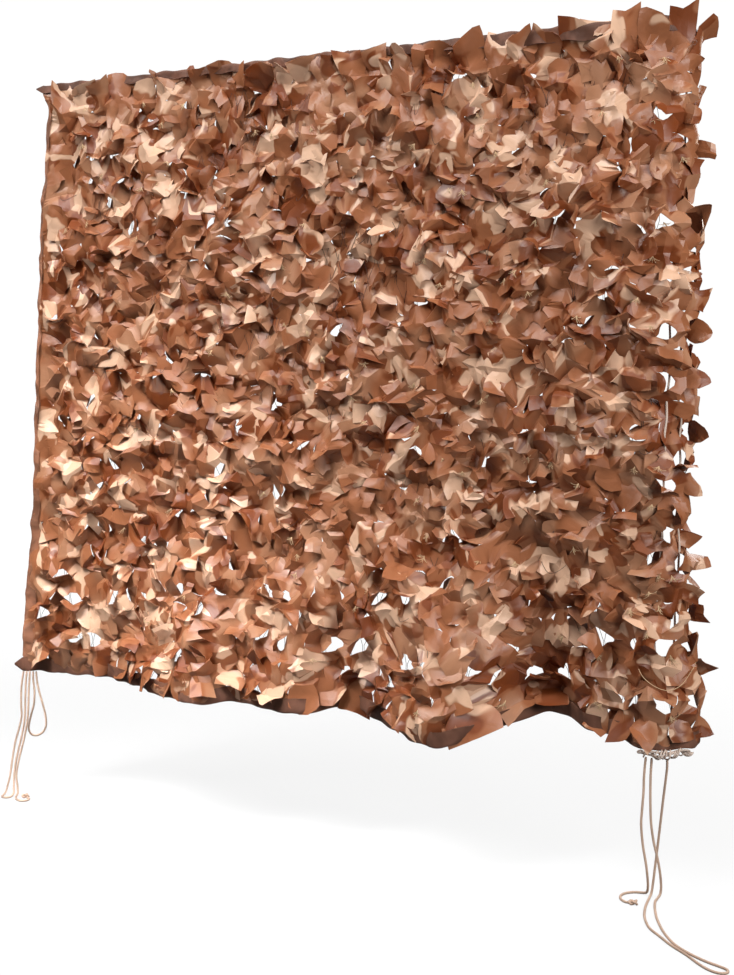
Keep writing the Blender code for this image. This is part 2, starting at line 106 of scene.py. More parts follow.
TIE_LEFT_SHORT = (
    (-0.862, -0.0151, -1.497), (-0.8625, -0.016, -1.52), (-0.8635, -0.0175, -1.548),
    (-0.8625, -0.02, -1.584), (-0.861, -0.0245, -1.616), (-0.863, -0.03, -1.648),
    (-0.868, -0.036, -1.683), (-0.8735, -0.044, -1.72), (-0.874, -0.0525, -1.757),
    (-0.8665, -0.057, -1.782), (-0.86, -0.063, -1.797), (-0.855, -0.073, -1.801),
    (-0.846, -0.087, -1.802), (-0.831, -0.099, -1.8022), (-0.815, -0.102, -1.8022),
    (-0.806, -0.091, -1.8022), (-0.812, -0.077, -1.8022), (-0.826, -0.07, -1.8022),
)
TIE_LEFT_LOOP = (
    (-0.852, -0.0142, -1.497), (-0.8522, -0.0135, -1.52), (-0.849, -0.0125, -1.548),
    (-0.851, -0.012, -1.58), (-0.859, -0.012, -1.606), (-0.866, -0.012, -1.63),
    (-0.868, -0.012, -1.648), (-0.858, -0.012, -1.66), (-0.84, -0.012, -1.66),
    (-0.822, -0.012, -1.65), (-0.812, -0.012, -1.632), (-0.814, -0.012, -1.605),
    (-0.824, -0.012, -1.575), (-0.835, -0.012, -1.545), (-0.841, -0.0125, -1.52),
    (-0.843, -0.0132, -1.4971),
)
TIE_RIGHT_SINGLE = (
    (0.769, -0.045, -1.5197), (0.767, -0.0462, -1.54), (0.7655, -0.0475, -1.565),
    (0.765, -0.0482, -1.59), (0.762, -0.05, -1.632), (0.761, -0.0515, -1.658),
    (0.765, -0.053, -1.698), (0.771, -0.053, -1.732), (0.774, -0.0515, -1.76),
    (0.774, -0.048, -1.783), (0.769, -0.041, -1.797), (0.758, -0.036, -1.801),
    (0.744, -0.037, -1.802), (0.73, -0.048, -1.8022), (0.724, -0.066, -1.8022),
    (0.728, -0.085, -1.8022), (0.74, -0.099, -1.8022), (0.756, -0.102, -1.8022),
)
TIE_RIGHT_DOUBLED = (
    (0.781, -0.0445, -1.5205), (0.78, -0.0455, -1.54), (0.7792, -0.0465, -1.56),
    (0.7792, -0.048, -1.606), (0.781, -0.0495, -1.65), (0.7865, -0.0495, -1.689),
    (0.794, -0.0485, -1.721), (0.7985, -0.046, -1.75), (0.8, -0.043, -1.778),
    (0.7985, -0.044, -1.795), (0.796, -0.054, -1.801), (0.7965, -0.072, -1.802),
    (0.804, -0.1, -1.8022), (0.815, -0.132, -1.8022), (0.83, -0.169, -1.8022),
    (0.859, -0.226, -1.8022), (0.894, -0.276, -1.8022), (0.932, -0.309, -1.8022),
    (0.968, -0.331, -1.8022), (0.996, -0.343, -1.8022), (1.012, -0.352, -1.8022),
    (1.015, -0.365, -1.8022), (1.005, -0.373, -1.8022), (0.985, -0.368, -1.8022),
    (0.96, -0.349, -1.8022), (0.928, -0.317, -1.8022), (0.8895, -0.2835, -1.8022),
    (0.858, -0.25, -1.8022), (0.827, -0.215, -1.8022), (0.803, -0.165, -1.8022),
    (0.789, -0.115, -1.8022), (0.783, -0.08, -1.802), (0.78, -0.056, -1.801),
    (0.779, -0.04, -1.797), (0.7795, -0.032, -1.782), (0.783, -0.0265, -1.744),
    (0.79, -0.024, -1.682), (0.798, -0.026, -1.619), (0.806, -0.0305, -1.565),
    (0.81, -0.0345, -1.54), (0.811, -0.0362, -1.5207),
)


# ---------------------------------------------------------------- sizes and colours


def metres(name, default, words):
    """A setting in metres."""
    return FloatProperty(name=name, description=words, default=default, min=0.0001, unit="LENGTH")


def factor(name, default, words):
    """A setting from 0 to 1."""
    return FloatProperty(name=name, description=words, default=default, min=0.0, max=1.0, subtype="FACTOR")


def tint(name, default, words):
    """A colour setting."""
    return FloatVectorProperty(name=name, description=words, default=default, subtype="COLOR")


def watts(name, default, words):
    """A setting in watts."""
    return FloatProperty(name=name, description=words, default=default, unit="POWER")


def cell_count(name, default, words):
    """A count of leaves."""
    return IntProperty(name=name, description=words, default=default, min=4, max=60)


class ClothSizes(bpy.types.PropertyGroup):
    """Sizes of the cut cloth."""

    cells_across: cell_count("Leaves across", 29, "Leaf cells from the left edge to the right")
    cells_down: cell_count("Leaves down", 27, "Leaf cells from the top edge to the bottom")
    thickness: metres("Thickness", 0.0005, "Thickness of the cloth")
    crumple: metres("Crumple", 0.016, "How far the cloth stands out of its smooth shape")
    gather: FloatProperty(
        name="Gather", description="Width of a leaf by the width of its hole", default=1.10, min=0.5, max=2.0
    )
    open_share: factor("Open leaves", 0.07, "Share of leaves that stand far out")
    back_share: factor("Leaves behind", 0.60, "Share of leaves that fall behind the cloth")


class ClothColours(bpy.types.PropertyGroup):
    """Colours of the printed cloth and of the tape."""

    ground: tint("Ground", (0.355, 0.127, 0.053), "Main brown of the print")
    light: tint("Light", (0.76, 0.475, 0.315), "Sand patches of the print")
    dark: tint("Dark", (0.185, 0.034, 0.003), "Dark patches of the print")
    rust: tint("Rust", (0.44, 0.204, 0.108), "Warm patches of the print")
    # The back's own duller tone, made darker and redder as painted shade and painted warm bounced light for
    # the pockets behind the holes
    reverse: tint("Reverse", (0.33, 0.106, 0.038), "Tone that the back of the cloth tends to")
    tape: tint("Tape", (0.112, 0.050, 0.032), "Colour of the edge tape")
    left_tape: tint("Left tape", (0.195, 0.083, 0.046), "Colour of the tape down the left edge")


class CordSizes(bpy.types.PropertyGroup):
    """Diameters of the cords and the pitch of the string net."""

    tie: metres("Ties", 0.0055, "Diameter of a corner tie")
    rope: metres("Edge ropes", 0.005, "Diameter of an edge rope")
    twine: metres("Twine", 0.0011, "Diameter of the string net")
    mesh: metres("Mesh", 0.017, "Distance between the threads of the string net")


class CordColours(bpy.types.PropertyGroup):
    """Colours of the cords."""

    tie: tint("Ties", (0.62, 0.43, 0.32), "Colour of the ties")
    rope: tint("Edge ropes", (0.70, 0.56, 0.47), "Colour of the edge ropes")
    tuft: tint("Tufts", (0.66, 0.46, 0.27), "Colour of the frayed tufts")
    twine: tint("Twine", (0.045, 0.022, 0.016), "Colour of the string net")


class StageSizes(bpy.types.PropertyGroup):
    """The floor and the lights."""

    floor: metres("Floor", 8.0, "Width of the floor")
    key: watts("Key light", 62.0, "Power of the key light")
    top: watts("Top light", 45.0, "Power of the top light")
    low: watts("Low light", 9.0, "Power of the light on the lower edge")
    sky: factor("Surroundings", 0.035, "Strength of the even light")


# ---------------------------------------------------------------- places on the cloth


def ease(share):
    """0 to 1 with no slope at either end, and flat outside them: s s (3 - 2 s)."""
    share = np.clip(share, 0.0, 1.0)
    return share * share * (3.0 - 2.0 * share)


def unit(vectors):
    """Vectors scaled to length 1."""
    return vectors / np.maximum(np.linalg.norm(vectors, axis=-1, keepdims=True), 1e-12)


def fold(edge_x, column):
    """One column of FOLDS at a place along the lower edge, eased between its rows."""
    table = np.array(FOLDS)
    places, values = table[:, 0], table[:, column]
    after = np.clip(np.searchsorted(places, edge_x), 1, len(places) - 1)
    share = (edge_x - places[after - 1]) / (places[after] - places[after - 1])
    return values[after - 1] + (values[after] - values[after - 1]) * ease(share)


def hung(across, drop):
    """Points of the smooth hung cloth.

    x runs from the slanted left edge, drawn in below its top, to the curl line and then round
    an arc. y is the lower edge's wave, eased in over the lower third, plus a shallow wave and
    the arc's depth. z falls to the lower edge's height in step with the drop.
    """
    down = drop / DROP
    left = TOP_LEFT_X + (BOTTOM_LEFT_X - TOP_LEFT_X) * down
    let_out = ease((down - LET_OUT_FROM) / LET_OUT_OVER)
    left = left + LEFT_DRAW * (ease((down - DRAWN_FROM) / DRAWN_OVER) - let_out)
    share = np.clip(across / MAIN_WIDTH, 0.0, 1.0)
    beyond = np.maximum(across - MAIN_WIDTH, 0.0)
    edge_x = BOTTOM_LEFT_X + share * (CURL_LINE_X - BOTTOM_LEFT_X)
    flare = ease((down - FLARE_START) / (1.0 - FLARE_START))
    phase = FULL_TURN * (WAVES_ACROSS * share + WAVES_DOWN * down)
    wave = np.sin(phase) * np.sin(math.pi * np.clip(down, 0.0, 1.0))
    radius = BORDER_RADIUS + BELL_RADIUS * ease((down - BELL_START) / (1.0 - BELL_START))
    turn = beyond / radius
    x = left + share * (CURL_LINE_X - left) + radius * np.sin(turn)
    y = fold(edge_x, 1) * flare + WAVE_DEPTH * wave + radius * (1.0 - np.cos(turn))
    z = fold(edge_x, 2) * down
    return np.stack([x, y, z], axis=-1)


def front(across, drop, step=0.004):
    """Unit normals of the smooth cloth towards its face: its fall crossed with its run to the right."""
    right = hung(across + step, drop) - hung(across - step, drop)
    below = hung(across, drop + step) - hung(across, drop - step)
    return unit(np.cross(below, right))


def draped(across, drop, off=0.0):
    """Points of the hung cloth with its small waves, or of a place off its face by a distance.

    Three sines of different lengths stand off the sheet's face, and two each way shift it
    within itself.
    """
    deep = np.sin(FULL_TURN * (across / 0.117 + drop / 0.61))
    deep = deep + 0.8 * np.sin(FULL_TURN * (drop / 0.139 - across / 0.83) + 1.0)
    deep = deep + 0.7 * np.sin(FULL_TURN * (across / 0.071 - drop / 0.093) + 2.0)
    along = np.sin(FULL_TURN * (drop / 0.083 + 0.3)) + 0.7 * np.sin(FULL_TURN * (drop / 0.191 + across / 0.5))
    down = np.sin(FULL_TURN * (across / 0.066))
    down = down + 0.8 * np.sin(FULL_TURN * (across / 0.148 + drop / 0.7) + 0.6)
    placed = across + RIPPLE_ASIDE * along, drop + RIPPLE_ASIDE * down
    return hung(*placed) + front(across, drop) * (off + RIPPLE_DEPTH * deep)[..., None]


def uneven(random, across, drop, pitch):
    """A wandering value from -1 to 1 at each place of the cloth.

    Random values stand on a square lattice of the given pitch, and a place takes the eased
    blend of the four round it.
    """
    columns = int(np.ceil(across.max() / pitch)) + 3
    rows = int(np.ceil(drop.max() / pitch)) + 3
    values = random.uniform(-1.0, 1.0, (rows, columns))
    x, y = np.maximum(across / pitch + 0.5, 0.0), np.maximum(drop / pitch + 0.5, 0.0)
    column, row = np.floor(x).astype(int), np.floor(y).astype(int)
    s, t = ease(x - column), ease(y - row)
    upper = values[row, column] * (1 - s) + values[row, column + 1] * s
    lower = values[row + 1, column] * (1 - s) + values[row + 1, column + 1] * s
    return upper * (1 - t) + lower * t


# ---------------------------------------------------------------- meshes


def add_mesh(name, points, faces, finish, uv=None, side=None, sharp=None):
    """A named mesh object at the origin, with its finish, and its flat places as a UV map."""
    mesh = bpy.data.meshes.new(name)
    mesh.from_pydata(np.asarray(points, np.float32), [], faces)
    if uv is not None:
        layer = mesh.uv_layers.new(name="Flat")
        corners = np.empty(len(mesh.loops), np.int32)
        mesh.loops.foreach_get("vertex_index", corners)
        layer.uv.foreach_set("vector", np.asarray(uv, np.float32)[corners].ravel())
    if side is not None:
        attribute = mesh.attributes.new("side", "FLOAT", "POINT")
        attribute.data.foreach_set("value", np.asarray(side, np.float32))
    mesh.shade_smooth()
    if sharp is not None:
        mesh.set_sharp_from_angle(angle=sharp)
    mesh.materials.append(finish)
    mesh.validate()
    piece = bpy.data.objects.new(name, mesh)
    bpy.context.scene.collection.objects.link(piece)
    return piece


def seat(piece, slot, *nodes):
    """The piece rides on the net's one body and takes the place of its solids."""
    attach(piece, "root")
    if nodes:
        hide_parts(*nodes)
    return piece


def strip_faces(rings, sides, closed=True):
    """Quads between rings of points, each ring joined to the next, and its ends to each other if closed."""
    ring, side = np.meshgrid(np.arange(rings - 1), np.arange(sides if closed else sides - 1), indexing="ij")
    beside = (side + 1) % sides
    corner = ring * sides
    quads = [corner + side, corner + beside, corner + sides + beside, corner + sides + side]
    return np.stack(quads, axis=-1).reshape(-1, 4)


def thickened(points, faces, thickness):
    """A sheet moved half a thickness to each side along its point normals, walled at its free edges."""
    sides = faces.shape[1]
    corners = points[faces]
    normals = sum(np.cross(corners[:, k], corners[:, (k + 1) % sides]) for k in range(sides))
    summed = np.zeros_like(points)
    for k in range(sides):
        np.add.at(summed, faces[:, k], normals)
    offset = unit(summed) * thickness / 2.0
    edges = np.concatenate([faces[:, [k, (k + 1) % sides]] for k in range(sides)])
    key = np.sort(edges, axis=1)
    total = len(points)
    _, first, count = np.unique(key[:, 0] * total + key[:, 1], return_index=True, return_counts=True)
    free = edges[first[count == 1]]
    walls = np.stack([free[:, 1], free[:, 0], free[:, 0] + total, free[:, 1] + total], axis=1)
    both = np.concatenate([points + offset, points - offset])
    return both, faces.tolist() + (faces[:, ::-1] + total).tolist() + walls.tolist()


# ---------------------------------------------------------------- finishes


FLAT_SCALE = 2.1  # metres of cloth in one unit of the UV map


class Value:
    """A socket that takes part in Python sums: each operator adds the Math node that does the same."""

    def __init__(self, finish, socket):
        self.finish, self.socket = finish, socket

    def _with(self, operation, *others):
        return self.finish.node("ShaderNodeMath", {"operation": operation}, *others)

    def __add__(self, other):
        return self._with("ADD", self, other)

    def __sub__(self, other):
        return self._with("SUBTRACT", self, other)

    def __rsub__(self, other):
        return self._with("SUBTRACT", other, self)

    def __mul__(self, other):
        return self._with("MULTIPLY", self, other)

    __radd__ = __add__
    __rmul__ = __mul__

    def between(self, low, high):
        """0 below low, 1 above high, eased from one to the other."""
        settings = {"interpolation_type": "SMOOTHSTEP"}
        return self.finish.node("ShaderNodeMapRange", settings, self, low, high, 0.0, 1.0)


class Finish:
    """A material whose nodes are added one call at a time."""

    def __init__(self, name):
        self.material = bpy.data.materials.new(name)
        self.material.use_nodes = True
        self.tree = self.material.node_tree
        self.shader = self.tree.nodes["Principled BSDF"]

    def node(self, kind, settings, *inputs, out=0, **named):
        """Adds a node: its settings first, then the values or links of its sockets, by order or by name."""
        node = self.tree.nodes.new(kind)
        for key, value in settings.items():
            setattr(node, key, value)
        sockets = [socket for socket in node.inputs if socket.enabled]
        for socket, value in zip(sockets, inputs):
            self.feed(socket, value)
        for key, value in named.items():
            self.feed(node.inputs[key.replace("_", " ")], value)
        outputs = [socket for socket in node.outputs if socket.enabled]
        return Value(self, outputs[out] if isinstance(out, int) else node.outputs[out])

    def feed(self, socket, value):
        """Links a socket to a Value, or sets it to a number or a colour."""
        if isinstance(value, Value):
            self.tree.links.new(value.socket, socket)
        else:
            socket.default_value = value

    def flat(self):
        """The place on the piece's own UV map."""
        return self.node("ShaderNodeUVMap", {"uv_map": "Flat"})

    def colour(self, share, first, second, blend="MIX"):
        """The second colour over the first by the share."""
        settings = {"data_type": "RGBA", "blend_type": blend}
        return self.node("ShaderNodeMix", settings, share, _rgba(first), _rgba(second))

    def scaled(self, vector, *scale):
        """A vector times three numbers."""
        return self.node("ShaderNodeVectorMath", {"operation": "MULTIPLY"}, vector, scale)

    def noise(self, vector, scale, detail, roughness, distortion, seed):
        """Blender's noise, 0 to 1, in four dimensions so that each seed is a different one."""
        form = {"Scale": scale, "Detail": detail, "Roughness": roughness, "Distortion": distortion}
        return self.node("ShaderNodeTexNoise", {"noise_dimensions": "4D"}, Vector=vector, W=seed, **form)

    def bump(self, strength, distance, height):
        """A normal tilted by a height."""
        return self.node("ShaderNodeBump", {}, Strength=strength, Distance=distance, Height=height)

    def set(self, **sockets):
        """Sets or links sockets of the Principled shader, named with underscores."""
        for key, value in sockets.items():
            self.feed(self.shader.inputs[key.replace("_", " ")], value)
        return self.material


def _rgba(colour):
    """A Value as it is, or a colour with an alpha of 1."""
    return colour if isinstance(colour, Value) else (*colour[:3], 1.0)


def cloth_finish(name, colours):
    """Printed cloth: soft-edged patches on a brown ground, duller on the back, with weave and creases. The
    back's tone is also darker and redder as painted shade.
    """
    f = Finish(name)
    flat = f.scaled(f.flat(), FLAT_SCALE, FLAT_SCALE, FLAT_SCALE)
    light = f.noise(flat, 14.0, 2.0, 0.55, 0.5, seed=1.0).between(0.562, 0.590)
    dark = f.noise(flat, 15.0, 2.0, 0.55, 0.6, seed=5.3).between(0.54, 0.58)
    rust = f.noise(flat, 11.0, 2.0, 0.5, 0.4, seed=9.1).between(0.48, 0.58)
    printed = f.colour(rust, colours.ground, colours.rust)
    printed = f.colour(dark * 0.80, printed, colours.dark)
    printed = f.colour(light, printed, colours.light)
    side = f.node("ShaderNodeAttribute", {"attribute_name": "side"}, out="Fac")
    # The back side mixes in the reverse tone: partly its own duller tone, partly painted shade, darker and
    # redder
    cloth = f.colour(side, printed, f.colour(0.55, printed, colours.reverse))
    mottle = f.noise(flat, 60.0, 3.0, 0.6, 0.0, seed=2.0).between(0.25, 0.75)
    worn = f.colour(mottle, (0.62, 0.60, 0.58), (1.25, 1.25, 1.25))
    cloth = f.colour(0.14, cloth, worn, "MULTIPLY")
    plain = {"noise_dimensions": "3D"}
    threads = f.scaled(flat, 900.0, 900.0, 1.0)
    weave = f.node("ShaderNodeTexNoise", plain, Vector=threads, Scale=1.0, Detail=1.0)
    drift = f.node("ShaderNodeTexNoise", plain, Vector=flat, Scale=30.0, Detail=2.0, out="Color")
    bent = f.node("ShaderNodeVectorMath", {"operation": "ADD"}, flat, f.scaled(drift, 0.03, 0.03, 0.03))
    cells = {"voronoi_dimensions": "2D", "feature": "DISTANCE_TO_EDGE"}
    crease = f.node("ShaderNodeTexVoronoi", cells, Vector=bent, Scale=42.0)
    fine = f.noise(flat, 150.0, 3.0, 0.62, 0.6, seed=3.0)
    bump = f.bump(0.5, 0.008, crease * 0.28 + fine * 0.05 + weave * 0.02)
    return f.set(Base_Color=cloth, Roughness=mottle * 0.14 + 0.32, Specular_IOR_Level=0.45, Normal=bump)


def tape_finish(name, tape):
    """Woven tape: fine ribs across it, worn a little lighter in patches, slightly shiny."""
    f = Finish(name)
    flat = f.flat()
    patch = f.noise(flat, 17.0, 3.0, 0.6, 0.5, seed=4.0).between(0.40, 0.62)
    colour = f.colour(patch, tape, tuple(2.0 * c for c in tape))
    ribs = {"Scale": 320.0, "Distortion": 0.6, "Detail": 1.0}
    rib = f.node("ShaderNodeTexWave", {"bands_direction": "X"}, Vector=flat, **ribs)
    crease = f.noise(flat, 34.0, 3.0, 0.6, 1.0, seed=8.0)
    bump = f.bump(0.5, 0.003, rib * 0.10 + crease)
    return f.set(Base_Color=colour, Roughness=patch * 0.1 + 0.42, Specular_IOR_Level=0.25, Normal=bump)


def cord_finish(name, colour, rough=0.85):
    """Twisted fibre: darker in patches, with lighter stray fibres, matt."""
    f = Finish(name)
    flat = f.flat()
    fibre = f.noise(f.scaled(flat, 1400.0, 90.0, 1.0), 1.0, 3.0, 0.6, 0.3, seed=6.0).between(0.3, 0.7)
    patch = f.noise(flat, 22.0, 2.0, 0.5, 0.0, seed=7.0).between(0.3, 0.7)
    mixed = f.colour(patch * 0.45, colour, tuple(0.45 * c for c in colour))
    mixed = f.colour(fibre * 0.5, mixed, tuple(min(1.0, 1.35 * c) for c in colour))
    return f.set(Base_Color=mixed, Roughness=rough, Normal=f.bump(0.4, 0.0006, fibre))


def material(make, name, *facts):
    """The named material, made once."""
    return bpy.data.materials.get(name) or make(name, *facts)


# ---------------------------------------------------------------- the cut cloth


# The cut pattern: each cell is SUB by SUB small squares, and its leaf the SPAN by SPAN inside
SUB, SPAN = 6, 4
ROW_SHIFT = 3
CREASE_STEP = 3
EDGE_MARGIN, LEFT_MARGIN, RIGHT_MARGIN = 0.015, 0.030, 0.004
HINGE_SHARES = (0.34, 0.22, 0.22, 0.22)  # at the top, left, bottom and right
UPRIGHT_CELLS, UPRIGHT_SHARE = 4, 0.8  # cells at the right whose leaves mostly hinge at a side
LOOSE_FROM, LOOSE_OVER = 0.66, 0.24  # where the lower band starts to be loose, and over what share
LOOSE_LESS = 0.4  # how much less loose the band is at the right
BORDER_FROM, BORDER_OVER = 0.02, 0.05  # where the border starts before the curl line, and over what

# How leaves stand, in degrees
RESTING, FAR_OUT, BEHIND = (8, 40), (40, 82), (4, 17)
BORDER_ANGLE = 14.0
RIM_LOWEST, TOP_RIM_HIGHEST, BOTTOM_RIM_HIGHEST = -2, 16, 26
KINK, SLIGHT_KINK = 31.0, 6.0
KINK_BACK, KINK_ON = -8.0, 4.0
SHARP_CREASE = 23.0  # edges are shaded sharp from here

# Shares of leaves: fewer behind and more far out where the net is loose, and how many are kinked
FEWER_BEHIND, MORE_OUT, MORE_OUT_BORDER, KINKED = 0.24, 0.22, 0.20, 0.6
KINKS_BEHIND, KINKS_AT_RIM = 0.3, 0.85  # size of their kinks by the others'

# Leaf lengths, by the cut or in metres
CUT_LENGTH, BEHIND_LENGTH = (0.94, 1.18), 1.34
TOP_RIM_LENGTH, TOP_RIM_GAIN = (0.050, 0.067), 0.026
BOTTOM_RIM_LENGTH, BOTTOM_RIM_LOSS = (0.044, 0.066), 0.008

# Holes: how far their sides and free ends are drawn in, by half a side or by the way out
DRAWN_IN, DRAWN_IN_BEHIND, DRAWN_IN_LESS = 0.90, 0.35, 0.60
NARROWED, DIPPED, CLOSED = (0.0, 0.35), (0.05, 0.30), (0.52, 0.88)
NARROWED_MORE, BULGE, HELD_AT_RIM = 0.7, 0.08, 0.6

# Leaf outlines, by half the hinge's width or by the way out
SLANT, STRAY, SLOPE, BELLY, CUT_CORNER = 0.20, 0.16, 0.19, 0.08, 0.16
LEAN, TWIST, CREASE_SLOPE, CREASED_SHARE = 0.22, 0.38, 0.66, 0.65
ROW_STRAY, WEIGHT = 0.07, 0.3
FLARE, RIM_FLARE = (-0.30, 0.14), (-0.12, 0.10)
POINTED = (0.0, 0.0, 0.0, 0.28, -0.22)
WIDER_BEHIND, WIDER_TOP_RIM, WIDER_BOTTOM_RIM = 0.32, 0.46, 0.30

# The sheet: how far it strays within itself, its crumpling, and how far from its edges it is held
WANDER_PITCH, WANDER, FACET_WANDER = 0.13, 0.008, 0.0085
CRUMPLE_WAVES = ((0.27, 0.6), (0.10, 0.8))  # pitch and share
HELD_ACROSS, HELD_DOWN = 0.05, 0.04


def cut_plan(sizes, random):
    """The leaves as arrays: first row and column on the sheet's lines, turn of the hinge, and rim.

    turn 0 hinges at the top and hangs, 1 hinges at the left, 2 at the bottom and 3 at the right.
    rim is 1 along the top edge, -1 along the lower edge and 0 elsewhere.
    """
    rows, firsts, rims = [], [], []
    for row in range(sizes.cells_down):
        cells = sizes.cells_across - row % 2
        firsts.append(1 + ROW_SHIFT * (row % 2) + SUB * np.arange(cells))
        rows.append(np.full(cells, 1 + SUB * row))
        rims.append(np.full(cells, (row == 0) * 1 - (row == sizes.cells_down - 1) * 1))
    rows, firsts, rims = map(np.concatenate, (rows, firsts, rims))
    turns = random.choice(4, len(rows), p=HINGE_SHARES)
    turns = np.where((firsts <= 1 + ROW_SHIFT) & (turns == 3), 1, turns)
    at_right = firsts > 1 + SUB * (sizes.cells_across - UPRIGHT_CELLS)
    upright = at_right & (random.random(len(rows)) < UPRIGHT_SHARE)
    turns = np.where(upright, random.choice((1, 3), len(rows)), turns)
    return rows, firsts, np.where(rims == 1, 2, np.where(rims == -1, 0, turns)), rims


def leaf_lines():
    """Row and column steps of each leaf point within its block, for the four turns of the hinge.

    The first axis is the turn, the second runs from the hinge to the free end and the third
    along the hinge.
    """
    out, along = np.meshgrid(np.arange(SPAN + 1), np.arange(SPAN + 1), indexing="ij")
    return (
        np.stack([out, SPAN - along, SPAN - out, along]),
        np.stack([along, out, SPAN - along, SPAN - out]),
    )


class Leaves:
    """The leaves as arrays: where each is cut, how loose the net is there, and how it stands."""

    def __init__(self, sizes, across, drop, random):
        self.row, self.first, self.turn, self.rim = cut_plan(sizes, random)
        self.count = len(self.row)
        self.steps = tuple(steps[self.turn] for steps in leaf_lines())
        self.at = (
            self.row[:, None, None] + 1 + self.steps[0],
            self.first[:, None, None] + 1 + self.steps[1],
        )
        middle = tuple(lines[:, SPAN // 2, SPAN // 2] for lines in self.at)
        self.right = across[middle] / CLOTH_WIDTH
        low = ease((drop[middle] / DROP - LOOSE_FROM) / LOOSE_OVER) * (1.0 - LOOSE_LESS * self.right)
        self.border = ease((across[middle] - MAIN_WIDTH + BORDER_FROM) / BORDER_OVER)
        self.loose = np.maximum(low, self.border)
        self.stand(sizes, random)

    def stand(self, sizes, random):
        """Sets each leaf's angle to the cloth and the two kinks on its way out, in radians.

        Some leaves fall behind the cloth and close their holes, some stand far out, and the
        rest lie a little off its face. Where the net is loose, and more so in the curled
        border, more of them stand out.
        """
        count, pair, at_rim = self.count, (2, self.count), self.rim != 0
        draw = random.random(count)
        self.behind = (draw < sizes.back_share - FEWER_BEHIND * self.loose) & ~at_rim
        kept_in = 1.0 - sizes.open_share - MORE_OUT * self.loose - MORE_OUT_BORDER * self.border
        outer = (draw > kept_in) & ~at_rim
        angle = random.uniform(*RESTING, count) + BORDER_ANGLE * self.border
        angle = np.where(outer, random.uniform(*FAR_OUT, count), angle)
        angle = np.where(self.behind, -random.uniform(*BEHIND, count), angle)
        highest = np.where(self.rim > 0, TOP_RIM_HIGHEST, BOTTOM_RIM_HIGHEST)
        angle = np.where(at_rim, random.uniform(RIM_LOWEST, highest), angle)
        bent = random.random(pair) < KINKED
        kinks = np.where(bent, random.normal(0.0, KINK, pair), random.normal(0.0, SLIGHT_KINK, pair))
        kinks *= np.where(self.behind, KINKS_BEHIND, np.where(at_rim, KINKS_AT_RIM, 1.0))
        kinks += np.where(outer, KINK_BACK, KINK_ON)
        self.angle, self.kinks = np.radians(angle), np.radians(kinks)

    def hole_shift(self, cell, random):
        """How far the points round each hole move within the cloth.

        The hole's sides lean together as the square of the way out, and its free end dips at
        the corners as the cube of the way aside, and closes towards the hinge.
        """
        along, out = np.meshgrid(np.linspace(-1.0, 1.0, SPAN + 1), np.linspace(0.0, 1.0, SPAN + 1))
        on_rim = ((np.abs(along) == 1.0) | (out == 1.0)) & (out > 0.0)
        drawn_in = np.where(self.behind, DRAWN_IN_BEHIND, DRAWN_IN - DRAWN_IN_LESS * self.loose)
        narrow = (random.uniform(*NARROWED, self.count) + drawn_in * NARROWED_MORE)[:, None, None]
        dip = random.uniform(*DIPPED, (self.count, 1, 1))
        closed = (drawn_in * random.uniform(*CLOSED, self.count))[:, None, None]
        move_along = -along * narrow * out**2
        move_out = -dip * out * np.abs(along) ** 3 - closed * out + BULGE * out * (1.0 - along**2)
        hinge_way = np.array([[1, 0], [0, -1], [-1, 0], [0, 1]], float)[self.turn][:, None, None]
        out_way = np.array([[0, 1], [1, 0], [0, -1], [-1, 0]], float)[self.turn][:, None, None]
        shift = (hinge_way * (move_along / 2.0)[..., None] + out_way * move_out[..., None]) * cell
        held = on_rim * (1.0 - HELD_AT_RIM * (self.rim != 0))[:, None, None]
        return shift * held[..., None]

    def lengths(self, cell, random):
        """Each leaf's length from its hinge: its cut's, longer behind the cloth, and its own at the rims."""
        cut = np.where(self.turn % 2 == 0, cell[1], cell[0])
        cut = cut * random.uniform(*CUT_LENGTH, self.count) * np.where(self.behind, BEHIND_LENGTH, 1.0)
        above = random.uniform(*TOP_RIM_LENGTH, self.count) + TOP_RIM_GAIN * ease((self.right - 0.5) / 0.5)
        below = random.uniform(*BOTTOM_RIM_LENGTH, self.count) - BOTTOM_RIM_LOSS * self.border
        return np.where(self.rim > 0, above, np.where(self.rim < 0, below, cut))

    def walk_out(self, lengths, into, outward, random):
        """Shares of the way out, and places along each leaf's middle from its hinge.

        Each step's direction is the hole's, turned out of the cloth by the leaf's angle and
        by the kinks passed so far, and pulled down by the leaf's weight.
        """
        count, steps = self.count, np.arange(SPAN + 1)
        inner = (steps > 0) & (steps < SPAN)
        share = steps / SPAN + random.uniform(-ROW_STRAY, ROW_STRAY, (count, SPAN + 1)) * inner
        kink_at = np.stack([random.integers(1, 3, count), random.integers(2, SPAN, count)])
        passed = steps[:SPAN] >= kink_at[..., None]
        bend = self.angle[:, None] + (self.kinks[..., None] * passed).sum(axis=0)
        weight = random.uniform(0.0, WEIGHT, count)[:, None] * share[:, 1:] * (self.rim != 1)[:, None]
        rise = np.sin(bend)[..., None] * outward[:, None]
        heading = unit(np.cos(bend)[..., None] * into[:, None] + rise - weight[..., None] * UP)
        walked = np.cumsum(np.diff(share, axis=1)[..., None] * heading, axis=1)
        walked = np.concatenate([np.zeros((count, 1, 3)), walked], axis=1)
        return share, walked * lengths[:, None, None]

